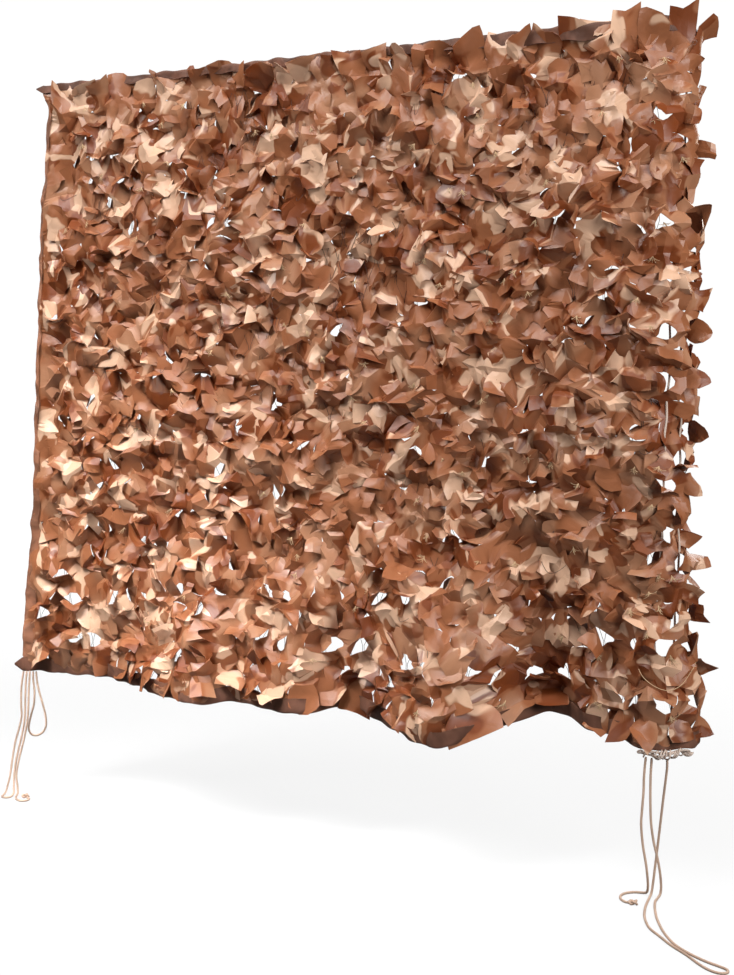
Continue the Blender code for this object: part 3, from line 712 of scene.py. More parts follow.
    def outline(self, gather, out, random):
        """How far out, aside and off its middle each point of a leaf lies.

        Aside is the place along the hinge times the leaf's width, which grows, flares and
        bellies on the way out. Off is the sum of each crease's slope times how far the point
        lies beyond that crease.
        """
        one, creases = (self.count, 1, 1), (self.count, SPAN - 1)
        at_rim = (self.rim != 0)[:, None, None]
        start = np.linspace(-1.0, 1.0, SPAN + 1)
        slant = random.uniform(-SLANT, SLANT, one) * out
        stray = random.uniform(-STRAY, STRAY, (self.count, 1, SPAN + 1)) * (out > 0.0) + slant
        along = start + (np.abs(start) < 1.0) * stray
        folds = random.normal(0.0, CREASE_SLOPE, creases) * (random.random(creases) < CREASED_SHARE)
        off = np.zeros_like(along)
        for number in range(SPAN - 1):
            beyond = np.maximum(along - along[:, :, number + 1, None], 0.0)
            off += folds[:, number, None, None] * beyond
        off = (off - off.mean(axis=2, keepdims=True)) * out
        point = random.choice(POINTED, self.count)[:, None, None]
        slope = random.uniform(-SLOPE, SLOPE, one) * along
        flare = np.where(at_rim, random.uniform(*RIM_FLARE, one), random.uniform(*FLARE, one)) * out
        belly = random.uniform(-BELLY, BELLY, one) * np.sin(math.pi * np.clip(out, 0.0, 1.0))
        corner = random.uniform(0.0, CUT_CORNER, one) * np.abs(along) ** 3 * out**4
        grown = ease(out * 3.0)
        at_edge = np.where(self.rim > 0, WIDER_TOP_RIM, np.where(self.rim < 0, WIDER_BOTTOM_RIM, 0.0))
        wide = (gather - 1.0 + WIDER_BEHIND * self.behind[:, None, None]) * grown
        wide = wide + at_edge[:, None, None] * grown
        tame = np.where(at_rim, 0.9, 1.0)
        reach = 1.0 + tame * out * (point * (0.6 - np.abs(along)) + slope) - corner
        lean = random.normal(0.0, LEAN, one) * out
        return reach, along * (1.0 + wide + flare + belly - 0.6 * corner) + lean, off

    def points(self, sheet, cell, gather, random):
        """Points of every leaf: its width and relief, laid off across its middle line with a twist."""
        hinge = sheet[self.at][:, 0]
        root = (hinge[:, 0] + hinge[:, -1]) / 2.0
        hinge_way = unit(hinge[:, -1] - hinge[:, 0])
        half = np.linalg.norm(hinge[:, -1] - hinge[:, 0], axis=-1) / 2.0
        into = sheet[self.at][:, SPAN].mean(axis=1) - root
        into = unit(into - hinge_way * (into * hinge_way).sum(-1, keepdims=True))
        lengths = self.lengths(cell, random)
        share, walked = self.walk_out(lengths, into, np.cross(into, hinge_way), random)
        tangent = unit(np.gradient(walked, axis=1))
        twist = random.normal(0.0, TWIST, self.count)[:, None] * share
        hinge_way = hinge_way[:, None]
        level = unit(hinge_way - tangent * (tangent * hinge_way).sum(-1, keepdims=True))
        aside = level * np.cos(twist)[..., None] + np.cross(tangent, level) * np.sin(twist)[..., None]
        out = share[:, :, None]
        reach, spread, off = self.outline(gather, out, random)
        half_width = half[:, None, None]
        leaf = (
            root[:, None, None]
            + walked[:, :, None] * reach[..., None]
            + aside[:, :, None] * (spread * half_width)[..., None]
            + np.cross(tangent, aside)[:, :, None] * (off * half_width)[..., None]
        )
        start = np.linspace(-1.0, 1.0, SPAN + 1)
        straight = root[:, None] + hinge_way * (start * half[:, None])[..., None]
        return leaf + (hinge - straight)[:, None] * ((1.0 - out) ** 2)[..., None]

    def faces(self, shape, flip, random):
        """Triangles of the sheet less the leaves' blocks, and of the leaves on points of their own."""
        steps = np.arange(SPAN + 1)
        sheet = np.arange(shape[0] * shape[1]).reshape(shape)
        own = sheet.size + np.arange(self.count * steps.size**2).reshape(self.steps[0].shape)
        block = np.empty_like(own)
        number = np.arange(self.count)[:, None, None]
        block[(number, *self.steps)] = np.where((steps > 0)[None, :, None], own, sheet[self.at])
        is_sheet = np.ones((shape[0] - 1, shape[1] - 1), bool)
        block_row = self.row[:, None, None] + 1 + steps[None, :SPAN, None]
        is_sheet[block_row, self.first[:, None, None] + 1 + steps[None, None, :SPAN]] = False
        rows, columns = (
            np.clip((np.arange(lines - 1) - 1) // CREASE_STEP, 0, limit - 1)
            for lines, limit in zip(shape, flip.shape)
        )
        leaf_quads = quads(block)
        return np.concatenate(
            [
                triangles(quads(sheet)[is_sheet], flip[rows[:, None], columns[None, :]][is_sheet]),
                triangles(leaf_quads, random.random(leaf_quads.shape[:3]) < 0.5),
            ]
        )


def creased(random, shape, flip):
    """A wandering value from -1 to 1 at each crossing of the sheet's lines, in flat triangles.

    Every CREASE_STEP-th line carries random values; between them the value runs evenly over
    the two triangles of each cell, whose diagonal goes one way or, where flip says so, the other.
    """
    rows, columns = (np.arange(size) - 1 for size in shape)
    values = random.uniform(-1.0, 1.0, np.array(flip.shape) + 1)
    row, column = (
        np.clip(line // CREASE_STEP, 0, limit - 1) for line, limit in zip((rows, columns), flip.shape)
    )
    t = np.clip(rows / CREASE_STEP - row, 0.0, 1.0)[:, None]
    s = np.clip(columns / CREASE_STEP - column, 0.0, 1.0)[None, :]
    row, column = row[:, None], column[None, :]
    a, b = values[row, column], values[row, column + 1]
    c, d = values[row + 1, column], values[row + 1, column + 1]
    falling = np.where(s >= t, a + s * (b - a) + t * (d - b), a + t * (c - a) + s * (d - c))
    far_side = d + (1 - s) * (c - d) + (1 - t) * (b - d)
    rising = np.where(s + t <= 1.0, a + s * (b - a) + t * (c - a), far_side)
    return np.where(flip[row, column], rising, falling)


def quads(index):
    """The four corners of each square between the last two axes' lines."""
    corners = [index[..., :-1, :-1], index[..., 1:, :-1], index[..., 1:, 1:], index[..., :-1, 1:]]
    return np.stack(corners, axis=-1)


def triangles(corners, flip):
    """Two triangles of each quad, cut from its first corner to its third, or the other way where flipped."""
    a, b, c, d = np.moveaxis(corners, -1, 0)
    straight = np.stack([np.stack([a, b, c], -1), np.stack([a, c, d], -1)], -2)
    other = np.stack([np.stack([a, b, d], -1), np.stack([b, c, d], -1)], -2)
    return np.where(flip[..., None, None], other, straight).reshape(-1, 3)


def sheet_points(sizes, across, drop, moved, flip, random):
    """Points of the sheet: strayed within itself and crumpled, less so near its left, top and lower edges.

    The crumpling is a sum of wandering values of two pitches and of the flat triangles.
    """
    free = ease(np.minimum(across / HELD_ACROSS, np.minimum(drop, DROP - drop) / HELD_DOWN))
    facets = [creased(random, across.shape, flip) for _ in range(3)]
    wander = WANDER * np.stack([uneven(random, across, drop, WANDER_PITCH) for _ in range(2)], axis=-1)
    wander += FACET_WANDER * np.stack(facets[:2], axis=-1)
    placed = np.stack([across, drop], axis=-1) + (moved + wander) * free[..., None]
    waves = sum(share * uneven(random, across, drop, pitch) for pitch, share in CRUMPLE_WAVES)
    crumple = sizes.crumple * (waves + facets[2])
    return draped(placed[..., 0], placed[..., 1], crumple * free)


def leaf_cloth_sheet(sizes):
    """Points, triangles and flat places of the cut cloth.

    The sheet is a grid of lines, SUB to a cell. Each leaf's block of quads gets points of its
    own, but for those on its hinge, and the rim of the hole moves to an arch. A leaf is flat
    facets between creases that run out from its hinge and kinks that run across it.
    """
    random = np.random.default_rng(SEED)
    lines_across = np.linspace(LEFT_MARGIN, CLOTH_WIDTH - RIGHT_MARGIN, SUB * sizes.cells_across + 1)
    lines_down = np.linspace(EDGE_MARGIN, DROP - EDGE_MARGIN, SUB * sizes.cells_down + 1)
    lines_across = np.concatenate([[0.0], lines_across, [CLOTH_WIDTH]])
    lines_down = np.concatenate([[0.0], lines_down, [DROP]])
    across, drop = np.meshgrid(lines_across, lines_down)
    cell = np.array([lines_across[2] - lines_across[1], lines_down[2] - lines_down[1]]) * SPAN
    flat = np.stack([across, drop], axis=-1)

    leaves = Leaves(sizes, across, drop, random)
    moved = np.zeros_like(flat)
    moved[leaves.at] += leaves.hole_shift(cell, random)
    flip = random.random(np.array([sizes.cells_down, sizes.cells_across]) * SUB // CREASE_STEP) < 0.5
    sheet = sheet_points(sizes, across, drop, moved, flip, random)
    leaf = leaves.points(sheet, cell, sizes.gather, random)
    faces = leaves.faces(across.shape, flip, random)

    every = np.concatenate([sheet.reshape(-1, 3), leaf.reshape(-1, 3)])
    places = np.concatenate([flat.reshape(-1, 2), flat[leaves.at].reshape(-1, 2)])
    used, faces = np.unique(faces, return_inverse=True)
    return every[used], faces.reshape(-1, 3), places[used]


class NETTING_OT_leaf_cloth(bpy.types.Operator):
    """Make the cut cloth with all its leaves"""

    bl_idname = "netting.leaf_cloth"
    bl_label = "Leaf Cloth"

    def execute(self, context):
        sizes = context.scene.netting_cloth
        points, faces, places = leaf_cloth_sheet(sizes)
        both, walls = thickened(points, faces, sizes.thickness)
        uv = np.tile(places / FLAT_SCALE, (2, 1))
        side = np.repeat((0.0, 1.0), len(points))
        finish = material(cloth_finish, "leaf_cloth_print", context.scene.netting_cloth_colours)
        piece = add_mesh("cut_leaf_cloth", both, walls, finish, uv, side, math.radians(SHARP_CREASE))
        seat(piece, "leaf_cloth", "leaf_cloth")
        return {"FINISHED"}


# ---------------------------------------------------------------- tapes


TAPE_DEPTH = 0.032
TAPE_OFF = 0.0021  # from the cloth's middle to the tape's middle
TAPE_THICKNESS = 0.0011
TAPE_STEP = 0.006
TAPE_WAVER = 0.0025
TAPE_WIDENS, TAPE_WIDENS_OVER = 0.52, 0.30  # shares of its length
TAPE_SHARP = 50.0  # degrees
TIP_LENGTH, TIP_RINGS, TIP_SHRINK = 0.022, 5, 0.88
# Half of the U, from the front edge to the fold: depths by TAPE_DEPTH and distances by TAPE_OFF
HALF_DEPTH = np.array([1.0, 0.86, 0.60, 0.34, 0.14, 0.02, -0.02])
HALF_OFF = np.array([1.0, 1.0, 1.0, 1.0, 0.95, 0.72, 0.28])
TAPES = (
    # name, start and end as (across, drop), direction inward, width at the start, tip, wrinkle, node
    ("top_tape", (0.0, 0.0), (CLOTH_WIDTH, 0.0), (0.0, 1.0), 0.58, True, 0.0013, "binding_top"),
    ("bottom_tape", (0.0, DROP), (CLOTH_WIDTH, DROP), (0.0, -1.0), 1.0, True, 0.0015, "binding_bottom"),
    ("left_tape", (0.0, TAPE_SEAM), (0.0, DROP - TAPE_SEAM), (1.0, 0.0), 0.34, False, 0.0030, "binding_left"),
)


def folded_tape(start, end, inward, random, narrow_start, tip, wrinkle):
    """Tape folded over an edge: a narrow U carried along it, with a wavering depth and puckers.

    Round the U the place runs from the inner front edge over the fold to the inner back edge.
    Where it starts narrow, its depth grows from that share to the whole past its middle.
    A tip runs on past the start and shrinks towards the middle of the section.
    """
    start, end, inward = (np.array(value) for value in (start, end, inward))
    size = np.linalg.norm(end - start)
    run = np.linspace(0.0, 1.0, int(size / TAPE_STEP))[:, None]
    depth = np.append(HALF_DEPTH, HALF_DEPTH[::-1]) * TAPE_DEPTH
    off = np.append(HALF_OFF, -HALF_OFF[::-1]) * TAPE_OFF
    place = start + (end - start) * run
    waver = uneven(random, run[:, 0] * size, np.zeros(len(run)), 0.09) * TAPE_WAVER
    pucker = uneven(random, *np.broadcast_arrays(run * size, depth), 0.018) * wrinkle
    narrow = narrow_start + (1.0 - narrow_start) * ease((run - TAPE_WIDENS) / TAPE_WIDENS_OVER)
    reach = (depth + waver[:, None] * (depth / TAPE_DEPTH)) * narrow
    points = draped(place[:, :1] + inward[0] * reach, place[:, 1:] + inward[1] * reach, off + pucker)
    along = np.broadcast_to(run * size, reach.shape)
    if tip:
        past = np.linspace(1.0, 0.0, TIP_RINGS, endpoint=False)[:, None]
        middle = points[0].mean(axis=0)
        heading = unit(middle - points[4].mean(axis=0))
        pointed = middle + (points[0] - middle) * (1.0 - TIP_SHRINK * past)[..., None]
        points = np.concatenate([pointed + heading * (TIP_LENGTH * past)[..., None], points])
        along = np.concatenate([np.broadcast_to(-TIP_LENGTH * past, pointed.shape[:2]), along])
    round_fold = np.broadcast_to(np.linspace(0.0, 0.07, len(depth)), along.shape)
    return points, np.stack([along, round_fold], axis=-1)


class NETTING_OT_tapes(bpy.types.Operator):
    """Make the tapes folded over the top, left and lower edges"""

    bl_idname = "netting.tapes"
    bl_label = "Edge Tapes"

    def execute(self, context):
        random = np.random.default_rng(SEED + 1)
        colours = context.scene.netting_cloth_colours
        for name, start, end, inward, narrow_start, tip, wrinkle, node in TAPES:
            tape = colours.left_tape if name == "left_tape" else colours.tape
            finish = material(tape_finish, name + "_weave", tape)
            points, uv = folded_tape(start, end, inward, random, narrow_start, tip, wrinkle)
            faces = strip_faces(*points.shape[:2], closed=False)
            both, walls = thickened(points.reshape(-1, 3), faces, TAPE_THICKNESS)
            uvs = np.tile(uv.reshape(-1, 2), (2, 1))
            piece = add_mesh(name, both, walls, finish, uvs, sharp=math.radians(TAPE_SHARP))
            seat(piece, "binding_tape", node)
        return {"FINISHED"}


# ---------------------------------------------------------------- cords


CURVE_STEPS = 24
STRANDS, LAY = 3, 3.4  # strands of a cord, and its lay by its diameter
GROOVE, GROOVE_POWER = 0.88, 2.4
PATH_STEP = 0.004

TIES = (
    # name, route, far end
    ("tie_left_long", TIE_LEFT_LONG, "object"),
    ("tie_left_short", TIE_LEFT_SHORT, "knot"),
    ("tie_left_loop", TIE_LEFT_LOOP, "object"),
    ("tie_right_single", TIE_RIGHT_SINGLE, "knot"),
    ("tie_right_doubled", TIE_RIGHT_DOUBLED, "object"),
)
KNOT_SIZE, KNOT_CORD = 0.0168, 0.0052
KNOT_PAST, KNOT_HEIGHT = 0.0055, 0.0054  # from the cord's end, and over the ground

ROPES = (
    # name, past the curl line at the top, past it at the bottom
    ("edge_rope_inner", 0.062, 0.000),
    ("edge_rope_outer", 0.100, 0.052),
)
ROPE_BEHIND = 0.0062  # from the cloth's middle to a rope's centre at the tapes
ROPE_SLACK, ROPE_SLACKENS = 0.010, 0.057

LASHING_START, LASHING_LENGTH = -0.022, 0.110  # from the curl line, along the lower edge
WOUND_FORWARD, WOUND_BELOW = 0.004, 0.0080  # the winding's middle from the lower edge
LASHED_STRANDS = (
    # turns round the edge, start and end along the lashing, first angle, width, height, diameter
    (3.4, 0.00, 0.62, 0.4, 0.0100, 0.0078, 0.0036),
    (2.6, 0.22, 1.00, 2.9, 0.0095, 0.0086, 0.0034),
    (4.3, 0.10, 0.80, 4.6, 0.0080, 0.0070, 0.0030),
    (1.7, 0.45, 0.98, 1.6, 0.0090, 0.0074, 0.0038),
    (0.6, 0.00, 1.00, 0.0, 0.0050, 0.0038, 0.0050),
    (0.8, 0.04, 0.96, 3.4, 0.0045, 0.0042, 0.0048),
)


def smooth_path(route, spacing):
    """Evenly spaced points on the Catmull-Rom curve through a route."""
    route = np.array(route, float)
    knots = np.vstack([2 * route[0] - route[1], route, 2 * route[-1] - route[-2]])
    t = np.linspace(0.0, 1.0, CURVE_STEPS, endpoint=False)[:, None]
    runs = []
    for a, b, c, d in zip(knots, knots[1:], knots[2:], knots[3:]):
        cubic = (3 * b - a - 3 * c + d) * t**3
        runs.append(0.5 * (2 * b + (c - a) * t + (2 * a - 5 * b + 4 * c - d) * t**2 + cubic))
    return respaced(np.vstack(runs + [route[-1:]]), spacing)


def respaced(points, spacing):
    """The same line with its points a given distance apart."""
    walked = walk(points)
    marks = np.linspace(0.0, walked[-1], max(3, int(round(walked[-1] / spacing)) + 1))
    return np.stack([np.interp(marks, walked, points[:, axis]) for axis in range(3)], axis=1)


def walk(points):
    """Distance along a line at each of its points."""
    return np.concatenate([[0.0], np.cumsum(np.linalg.norm(np.diff(points, axis=0), axis=1))])


def rails(path):
    """Two unit vectors across a path at each of its points, carried along it without turning about it."""
    tangent = unit(np.gradient(path, axis=0))
    sides = [np.cross(tangent[0], (0.31, 0.52, 0.79))]
    for heading in tangent:
        last = sides[-1] - heading * (sides[-1] @ heading)
        sides.append(last / np.linalg.norm(last))
    side = np.array(sides[1:])
    return side, np.cross(tangent, side)


def laid_cord(path, diameter, sides=12):
    """Points, faces and flat places of a twisted cord, closed at its ends.

    Its section has a round bulge for each strand and turns once in each lay: the radius falls
    with a power of the angle from the nearest strand's middle, which leaves grooves.
    """
    side, up = (rail[:, None] for rail in rails(path))
    walked = walk(path)[:, None]
    angle = np.linspace(0.0, FULL_TURN, sides, endpoint=False)[None, :]
    turned = angle - FULL_TURN * walked / (LAY * diameter)
    within = (turned * STRANDS / FULL_TURN) % 1.0 - 0.5
    radius = diameter / 2.0 * (1.0 - GROOVE * (2.0 * np.abs(within)) ** GROOVE_POWER / STRANDS)
    taper = np.clip(np.minimum(walked, walked[-1] - walked) / diameter + 0.35, 0.0, 1.0) ** 0.5
    radius = radius * taper
    points = path[:, None] + side * (np.cos(angle) * radius)[..., None]
    points = points + up * (np.sin(angle) * radius)[..., None]
    uv = np.stack([turned / FULL_TURN * 0.01 + 0.5, np.broadcast_to(walked, turned.shape)], axis=-1)
    return capped(points, uv)


def capped(points, uv):
    """Rings of points as one list with a point at the middle of each end, and the closed tube's faces."""
    rings, sides = points.shape[:2]
    faces = strip_faces(rings, sides)[:, ::-1].tolist()
    count = rings * sides
    for first, hub, flip in ((0, count, 1), (count - sides, count + 1, -1)):
        ring = [first + k for k in range(sides)]
        faces += [(hub, *pair[::flip]) for pair in zip(ring, ring[1:] + ring[:1])]
    every = np.vstack([points.reshape(-1, 3), points[0].mean(0), points[-1].mean(0)])
    places = np.vstack([uv.reshape(-1, 2), uv[0].mean(0), uv[-1].mean(0)])
    return every, faces, places


def add_cord(name, path, diameter, finish):
    """A twisted cord as a closed mesh."""
    points, faces, places = laid_cord(path, diameter)
    return add_mesh(name, points, faces, finish, places)


def knot_path(centre, heading, size):
    """A trefoil pulled flat: sin t + 2 sin 2t along, cos t - 2 cos 2t aside and -sin 3t up."""
    t = np.linspace(0.0, FULL_TURN, 60)
    x = np.sin(t) + 2.0 * np.sin(2.0 * t)
    y = np.cos(t) - 2.0 * np.cos(2.0 * t)
    z = -np.sin(3.0 * t)
    flat = heading * (x * size / 6.0)[:, None] + unit(np.cross(heading, UP)) * (y * size / 6.0)[:, None]
    return centre + flat + UP * (z * size / 7.0)[:, None]


class NETTING_OT_ties(bpy.types.Operator):
    """Make the loose corner ties, with a knot on each free end"""

    bl_idname = "netting.ties"
    bl_label = "Corner Ties"

    def execute(self, context):
        diameter = context.scene.netting_cords.tie
        finish = material(cord_finish, "tie_cord_fibre", context.scene.netting_cord_colours.tie)
        for name, route, far_end in TIES:
            path = smooth_path(route, diameter * 0.32)
            piece = add_cord("laid_" + name, path, diameter, finish)
            seat(piece, "tie_cord", name)
            if far_end == "knot":
                heading = unit(path[-1] - path[-8])
                centre = path[-1] + heading * KNOT_PAST
                centre[2] = GROUND_Z + KNOT_HEIGHT
                knot = knot_path(centre, heading, KNOT_SIZE)
                lump = add_cord("laid_" + name + "_knot", knot, KNOT_CORD, finish)
                seat(lump, "tie_cord", name + "_knot")
            [tuple(point) for point in smooth_path(route, PATH_STEP)]
        return {"FINISHED"}


class NETTING_OT_edge_ropes(bpy.types.Operator):
    """Make the two ropes behind the curled border and the strands wound under its corner"""

    bl_idname = "netting.edge_ropes"
    bl_label = "Edge Ropes"

    def execute(self, context):
        diameter = context.scene.netting_cords.rope
        finish = material(cord_finish, "edge_rope_fibre", context.scene.netting_cord_colours.rope)
        drop = np.linspace(0.0, DROP, 400)
        from_edge = np.minimum(drop, DROP - drop)
        clear = ROPE_BEHIND + ROPE_SLACK * ease((from_edge - TAPE_SEAM) / ROPE_SLACKENS)
        for name, past_top, past_bottom in ROPES:
            across = MAIN_WIDTH + past_top + (past_bottom - past_top) * ease(drop / DROP)
            path = respaced(draped(across, drop, -clear), diameter * 0.4)
            seat(add_cord("laid_" + name, path, diameter, finish), "edge_cord", name)
        wind(finish)
        return {"FINISHED"}


def wind(finish):
    """The strands under the lower right corner.

    Each strand runs along the edge and goes round it in a flat spiral of its own, whose
    pitch, width and height swell and shrink in slow waves.
    """
    every, faces, places, start = [], [], [], 0
    for turns, first, last, angle, width, height, diameter in LASHED_STRANDS:
        t = np.linspace(0.0, 1.0, 140)
        along = first + (last - first) * t
        edge = draped(MAIN_WIDTH + LASHING_START + LASHING_LENGTH * along, np.full(len(t), DROP))
        depth = unit(np.cross(np.gradient(edge, axis=0), UP))
        swell = np.sqrt(np.clip(1.0 - (2.0 * along - 1.0) ** 4, 0.12, 1.0))
        swell = swell * (1.0 + 0.18 * np.sin(9.0 * t + 2.0 * angle))
        turned = angle + FULL_TURN * (turns * t + 0.07 * np.sin(7.0 * t + angle))
        path = edge + depth * (WOUND_FORWARD + np.cos(turned) * width * swell)[:, None]
        path[:, 2] += np.sin(turned) * height * swell - WOUND_BELOW
        own, own_faces, own_places = laid_cord(respaced(path, diameter * 0.3), diameter, sides=9)
        every.append(own)
        places.append(own_places)
        faces += [tuple(start + k for k in face) for face in own_faces]
        start += len(own)
    piece = add_mesh("corner_winding", np.vstack(every), faces, finish, np.vstack(places))
    seat(piece, "edge_cord", "corner_lashing")


# ---------------------------------------------------------------- threads and the string net


THREAD_ASIDE = np.array([1.0, 0.0, 0.31])  # one axis of a thread's section is square to this
TWINE_ROUGH = 0.6
TWINE_BEHIND = 0.017
TWINE_POINTS = 91  # along each thread of the string net
TWINE_START, TWINE_MARGIN, TWINE_WANDER = 0.02, 0.012, 0.006
DIAMOND, DIAMOND_SWING = 0.105, 0.44  # height of a mesh of the string net, and a thread's swing in it
TUFTS, HAIRS, HAIR_RINGS = 90, 11, 6
TUFT_TURN, HAIR_SPREAD, HAIR_BEND = 0.7, 0.26, 0.5  # radians
HAIR_LENGTH, TUFT_OFF, HAIR_OFF = (0.008, 0.018), 0.010, 0.007
CORNER_TUFT_TURN, CORNER_TUFT_SIZE = 0.5, 1.7  # by the others'
SLACK_THREADS, SLACK_REACH, SLACK_SAG = 46, 0.06, (0.010, 0.040)
CORNER_TUFT = (1.664, 1.306)  # across and drop
CORNER_STRING = (1.608, 1.342), (1.724, 1.330), 0.040  # both ends as across and drop, and the sag


def add_threads(name, paths, diameter, finish):
    """Thin threads as one mesh: a small square section set round every point of every path."""
    threads, rings = paths.shape[:2]
    sides = 4
    angle = np.linspace(0.0, FULL_TURN, sides, endpoint=False)[:, None]
    heading = unit(np.gradient(paths, axis=1))
    level = unit(np.cross(heading, THREAD_ASIDE))[:, :, None]
    other = np.cross(heading[:, :, None], level)
    points = paths[:, :, None] + (level * np.cos(angle) + other * np.sin(angle)) * diameter / 2.0
    start = (np.arange(threads) * rings * sides)[:, None]
    strips = (strip_faces(rings, sides)[None, :, ::-1] + start[..., None]).reshape(-1, 4)
    cap = np.arange(sides)
    ends = np.concatenate([start + cap, start + (rings - 1) * sides + cap[::-1]])
    uv = np.stack([points[..., 0], points[..., 2]], axis=-1)
    faces = np.concatenate([strips, ends]).tolist()
    piece = add_mesh(name, points.reshape(-1, 3), faces, finish, uv.reshape(-1, 2))
    return seat(piece, "edge_cord")


def tuft_paths(random):
    """Hairs that fan out downwards from places on the face, the last and largest of them in the corner."""
    t = np.linspace(0.0, 1.0, HAIR_RINGS)
    main = random.uniform(0.08, MAIN_WIDTH, TUFTS)
    border = MAIN_WIDTH + random.uniform(-0.01, 0.07, TUFTS // 7)
    drop = random.uniform(0.06, DROP - 0.05, len(main) + len(border))
    across, drop = np.concatenate([main, border, CORNER_TUFT[:1]]), np.append(drop, CORNER_TUFT[1])
    each = (len(across), HAIRS, 1)
    turn = random.uniform(-TUFT_TURN, TUFT_TURN, len(across))[:, None, None]
    turn = turn + random.normal(0.0, HAIR_SPREAD, each)
    size = random.uniform(*HAIR_LENGTH, each)
    turn[-1] *= CORNER_TUFT_TURN
    size[-1] *= CORNER_TUFT_SIZE
    bend = random.normal(0.0, HAIR_BEND, each) * t
    sideways = across[:, None, None] + size * t * np.sin(turn + bend)
    down = drop[:, None, None] + size * t * np.cos(turn + bend)
    off = TUFT_OFF + random.uniform(0.0, HAIR_OFF, each) * t
    return draped(sideways, down, off).reshape(-1, HAIR_RINGS, 3)


def corner_path():
    """The string that droops between two places beside the lower right corner, as a parabola."""
    t = np.linspace(0.0, 1.0, 26)
    (start, top), (end, bottom), sag = CORNER_STRING
    hanging = top + (bottom - top) * t + sag * 4.0 * t * (1.0 - t)
    return draped(start + (end - start) * t, hanging, 0.012 + 0.010 * np.sin(math.pi * t))[None]


def slack_paths(random):
    """Threads that sag as parabolas between places on the cloth and come forward at their middles."""
    t = np.linspace(0.0, 1.0, 18)[None, :]
    each = (SLACK_THREADS, 1)
    across = random.uniform(0.06, CLOTH_WIDTH - 0.05, each)
    drop = random.uniform(0.08, DROP - 0.09, each)
    reach = random.uniform(-SLACK_REACH, SLACK_REACH, each)
    sag = random.uniform(*SLACK_SAG, each)
    sideways = np.clip(across + reach * t, 0.04, CLOTH_WIDTH - 0.004)
    return draped(sideways, drop + sag * 4.0 * t * (1.0 - t), 0.016 * np.sin(math.pi * t) - 0.004)


class NETTING_OT_loose_threads(bpy.types.Operator):
    """Make the frayed tufts, the slack threads and the drooping string on the face of the net"""

    bl_idname = "netting.loose_threads"
    bl_label = "Loose Threads"

    def execute(self, context):
        random = np.random.default_rng(SEED + 3)
        colours = context.scene.netting_cord_colours
        twine = context.scene.netting_cords.twine
        finish = material(cord_finish, "tuft_fibre", colours.tuft)
        add_threads("frayed_tufts", tuft_paths(random), twine, finish)
        add_threads("corner_string", corner_path(), twine * 1.3, finish)
        finish = material(cord_finish, "twine_fibre", colours.twine, TWINE_ROUGH)
        add_threads("slack_threads", slack_paths(random), twine, finish)
        return {"FINISHED"}


class NETTING_OT_string_net(bpy.types.Operator):
    """Make the string net that backs the cloth"""

    bl_idname = "netting.string_net"
    bl_label = "String Net"

    def execute(self, context):
        cords = context.scene.netting_cords
        random = np.random.default_rng(SEED + 2)
        threads = np.arange(int(MAIN_WIDTH / cords.mesh))
        drop, number = np.meshgrid(np.linspace(TWINE_MARGIN, DROP - TWINE_MARGIN, TWINE_POINTS), threads)
        side = np.where(number % 2 == 0, DIAMOND_SWING, -DIAMOND_SWING)
        across = TWINE_START + cords.mesh * (number + 0.5 + np.cos(FULL_TURN * drop / DIAMOND) * side)
        across = across + TWINE_WANDER * uneven(random, across, drop, 0.2)
        behind = TWINE_BEHIND + TWINE_WANDER * uneven(random, across, drop, 0.13)
        behind = behind * ease(np.minimum(drop, DROP - drop) / 0.05)
        colour = context.scene.netting_cord_colours.twine
        finish = material(cord_finish, "twine_fibre", colour, TWINE_ROUGH)
        add_threads("string_net", draped(across, drop, -behind), cords.twine, finish)
        return {"FINISHED"}


# ---------------------------------------------------------------- stage


# The camera, as the photograph was taken
CAMERA_PLACE = (1.68, -3.02, -0.745)
CAMERA_TURN = math.radians(27.56)
CAMERA_LENS, CAMERA_SENSOR = 55.38, 36.0  # millimetres
CAMERA_SHIFT = -0.1133
CAMERA_FAR = 200.0
FLOOR_COLOUR = (0.92, 0.92, 0.92, 1.0)
FLOOR_ALPHA, FLOOR_FADES = 0.16, (0.7, 3.4)  # how solid it is in the middle, and where that fades
BACKDROP = 1.02
LIGHTS = (
    # name, place, the point it faces, width, setting, share of it, spread in degrees
    ("key_light", (-1.9, -1.9, 1.3), (-0.3, 0.0, -0.8), 1.3, "key", 1.0, 180),
    ("top_light", (0.3, -1.2, 1.8), (0.1, -0.1, -1.3), 1.2, "top", 1.0, 180),
    ("low_light", (-0.9, -1.9, 1.2), (-0.5, -0.1, -1.9), 1.1, "low", 1.0, 36),
    ("side_light", (2.9, -1.0, 0.0), (0.85, 0.0, -0.8), 1.5, "key", 1.0, 180),
    ("back_light", (0.8, 3.2, 0.8), (0.0, 0.0, -0.8), 2.0, "key", 0.9, 180),
)


class NETTING_OT_stage(bpy.types.Operator):
    """Make the camera, the pale floor and the soft light"""

    bl_idname = "netting.stage"
    bl_label = "Stage"

    def execute(self, context):
        scene = context.scene
        stage = scene.netting_stage
        add_camera(scene)
        add_floor(stage.floor / 2.0)
        add_surroundings(scene, stage.sky)
        for name, place, target, size, setting, portion, spread in LIGHTS:
            add_light(name, place, target, size, getattr(stage, setting) * portion, math.radians(spread))
        scene.view_settings.view_transform = "Standard"
        return {"FINISHED"}


def add_camera(scene):
    """The camera at the photograph's place."""
    camera = bpy.data.objects.new("camera", bpy.data.cameras.new("camera"))
    camera.location = CAMERA_PLACE
    camera.rotation_euler = (math.pi / 2.0, 0.0, CAMERA_TURN)
    camera.data.lens = CAMERA_LENS
    camera.data.sensor_width = CAMERA_SENSOR
    camera.data.shift_y = CAMERA_SHIFT
    camera.data.clip_end = CAMERA_FAR
    scene.collection.objects.link(camera)
    scene.camera = camera


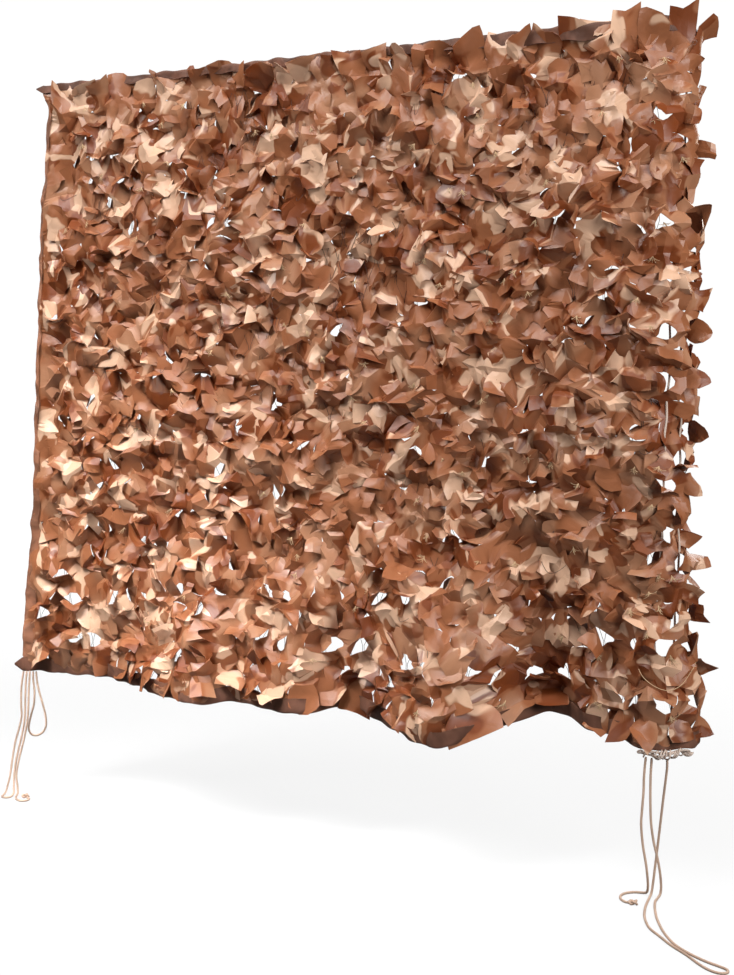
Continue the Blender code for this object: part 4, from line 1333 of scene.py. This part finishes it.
def add_floor(half):
    """A pale floor that is nearly clear, and fades out away from the net."""
    corners = [(x * half, y * half, GROUND_Z) for x, y in ((-1, -1), (1, -1), (1, 1), (-1, 1))]
    f = Finish("pale_floor")
    level = f.scaled(f.node("ShaderNodeTexCoord", {}, out="Object"), 1.0, 1.0, 0.0)
    away = f.node("ShaderNodeVectorMath", {"operation": "LENGTH"}, level, out="Value")
    alpha = FLOOR_ALPHA - away.between(*FLOOR_FADES) * FLOOR_ALPHA
    finish = f.set(Base_Color=FLOOR_COLOUR, Roughness=0.9, Alpha=alpha)
    add_mesh("floor", corners, [(0, 1, 2, 3)], finish)


def add_surroundings(scene, sky_strength):
    """White surroundings that light the net a little and show as a white backdrop."""
    world = bpy.data.worlds.new("studio")
    scene.world = world
    world.use_nodes = True
    tree = world.node_tree
    sky = tree.nodes["Background"]
    sky.inputs["Color"].default_value = (1.0, 1.0, 1.0, 1.0)
    path = tree.nodes.new("ShaderNodeLightPath")
    strength = tree.nodes.new("ShaderNodeMapRange")
    strength.inputs["To Min"].default_value = sky_strength
    strength.inputs["To Max"].default_value = BACKDROP
    tree.links.new(path.outputs["Is Camera Ray"], strength.inputs["Value"])
    tree.links.new(strength.outputs["Result"], sky.inputs["Strength"])


def add_light(name, place, target, size, power, spread):
    """A square area light that faces a point, and fans out by its spread."""
    data = bpy.data.lights.new(name, "AREA")
    data.size = size
    data.energy = power
    data.spread = spread
    light = bpy.data.objects.new(name, data)
    light.location = place
    x, y, z = np.subtract(target, place)
    light.rotation_euler = (math.atan2(math.hypot(x, y), -z), 0.0, math.atan2(y, x) - math.pi / 2.0)
    bpy.context.scene.collection.objects.link(light)


# ---------------------------------------------------------------- panel and run


class NETTING_PT_panel(bpy.types.Panel):
    """Lists the netting's pieces in the sidebar"""

    bl_idname = "NETTING_PT_panel"
    bl_label = "Camouflage Netting"
    bl_space_type = "VIEW_3D"
    bl_region_type = "UI"
    bl_category = "Netting"

    def draw(self, context):
        column = self.layout.column()
        for operator in OPERATORS:
            column.operator(operator.bl_idname)
        for name in SETTINGS:
            group = getattr(context.scene, name)
            for key in group.bl_rna.properties.keys():
                if key not in ("rna_type", "name"):
                    column.prop(group, key)


SETTINGS = {
    "netting_cloth": ClothSizes,
    "netting_cloth_colours": ClothColours,
    "netting_cords": CordSizes,
    "netting_cord_colours": CordColours,
    "netting_stage": StageSizes,
}
OPERATORS = (
    NETTING_OT_stage,
    NETTING_OT_ties,
    NETTING_OT_edge_ropes,
    NETTING_OT_leaf_cloth,
    NETTING_OT_tapes,
    NETTING_OT_string_net,
    NETTING_OT_loose_threads,
)


def register():
    for group in SETTINGS.values():
        bpy.utils.register_class(group)
    for name, group in SETTINGS.items():
        setattr(bpy.types.Scene, name, PointerProperty(type=group))
    for operator in OPERATORS:
        bpy.utils.register_class(operator)
    bpy.utils.register_class(NETTING_PT_panel)


def unregister():
    bpy.utils.unregister_class(NETTING_PT_panel)
    for operator in reversed(OPERATORS):
        bpy.utils.unregister_class(operator)
    for name in SETTINGS:
        delattr(bpy.types.Scene, name)
    for group in SETTINGS.values():
        bpy.utils.unregister_class(group)


def main():
    register()
    bpy.ops.netting.stage()
    bpy.ops.netting.ties()
    bpy.ops.netting.edge_ropes()
    bpy.ops.netting.leaf_cloth()
    bpy.ops.netting.tapes()
    bpy.ops.netting.string_net()
    bpy.ops.netting.loose_threads()


if __name__ == "__main__":
    main()
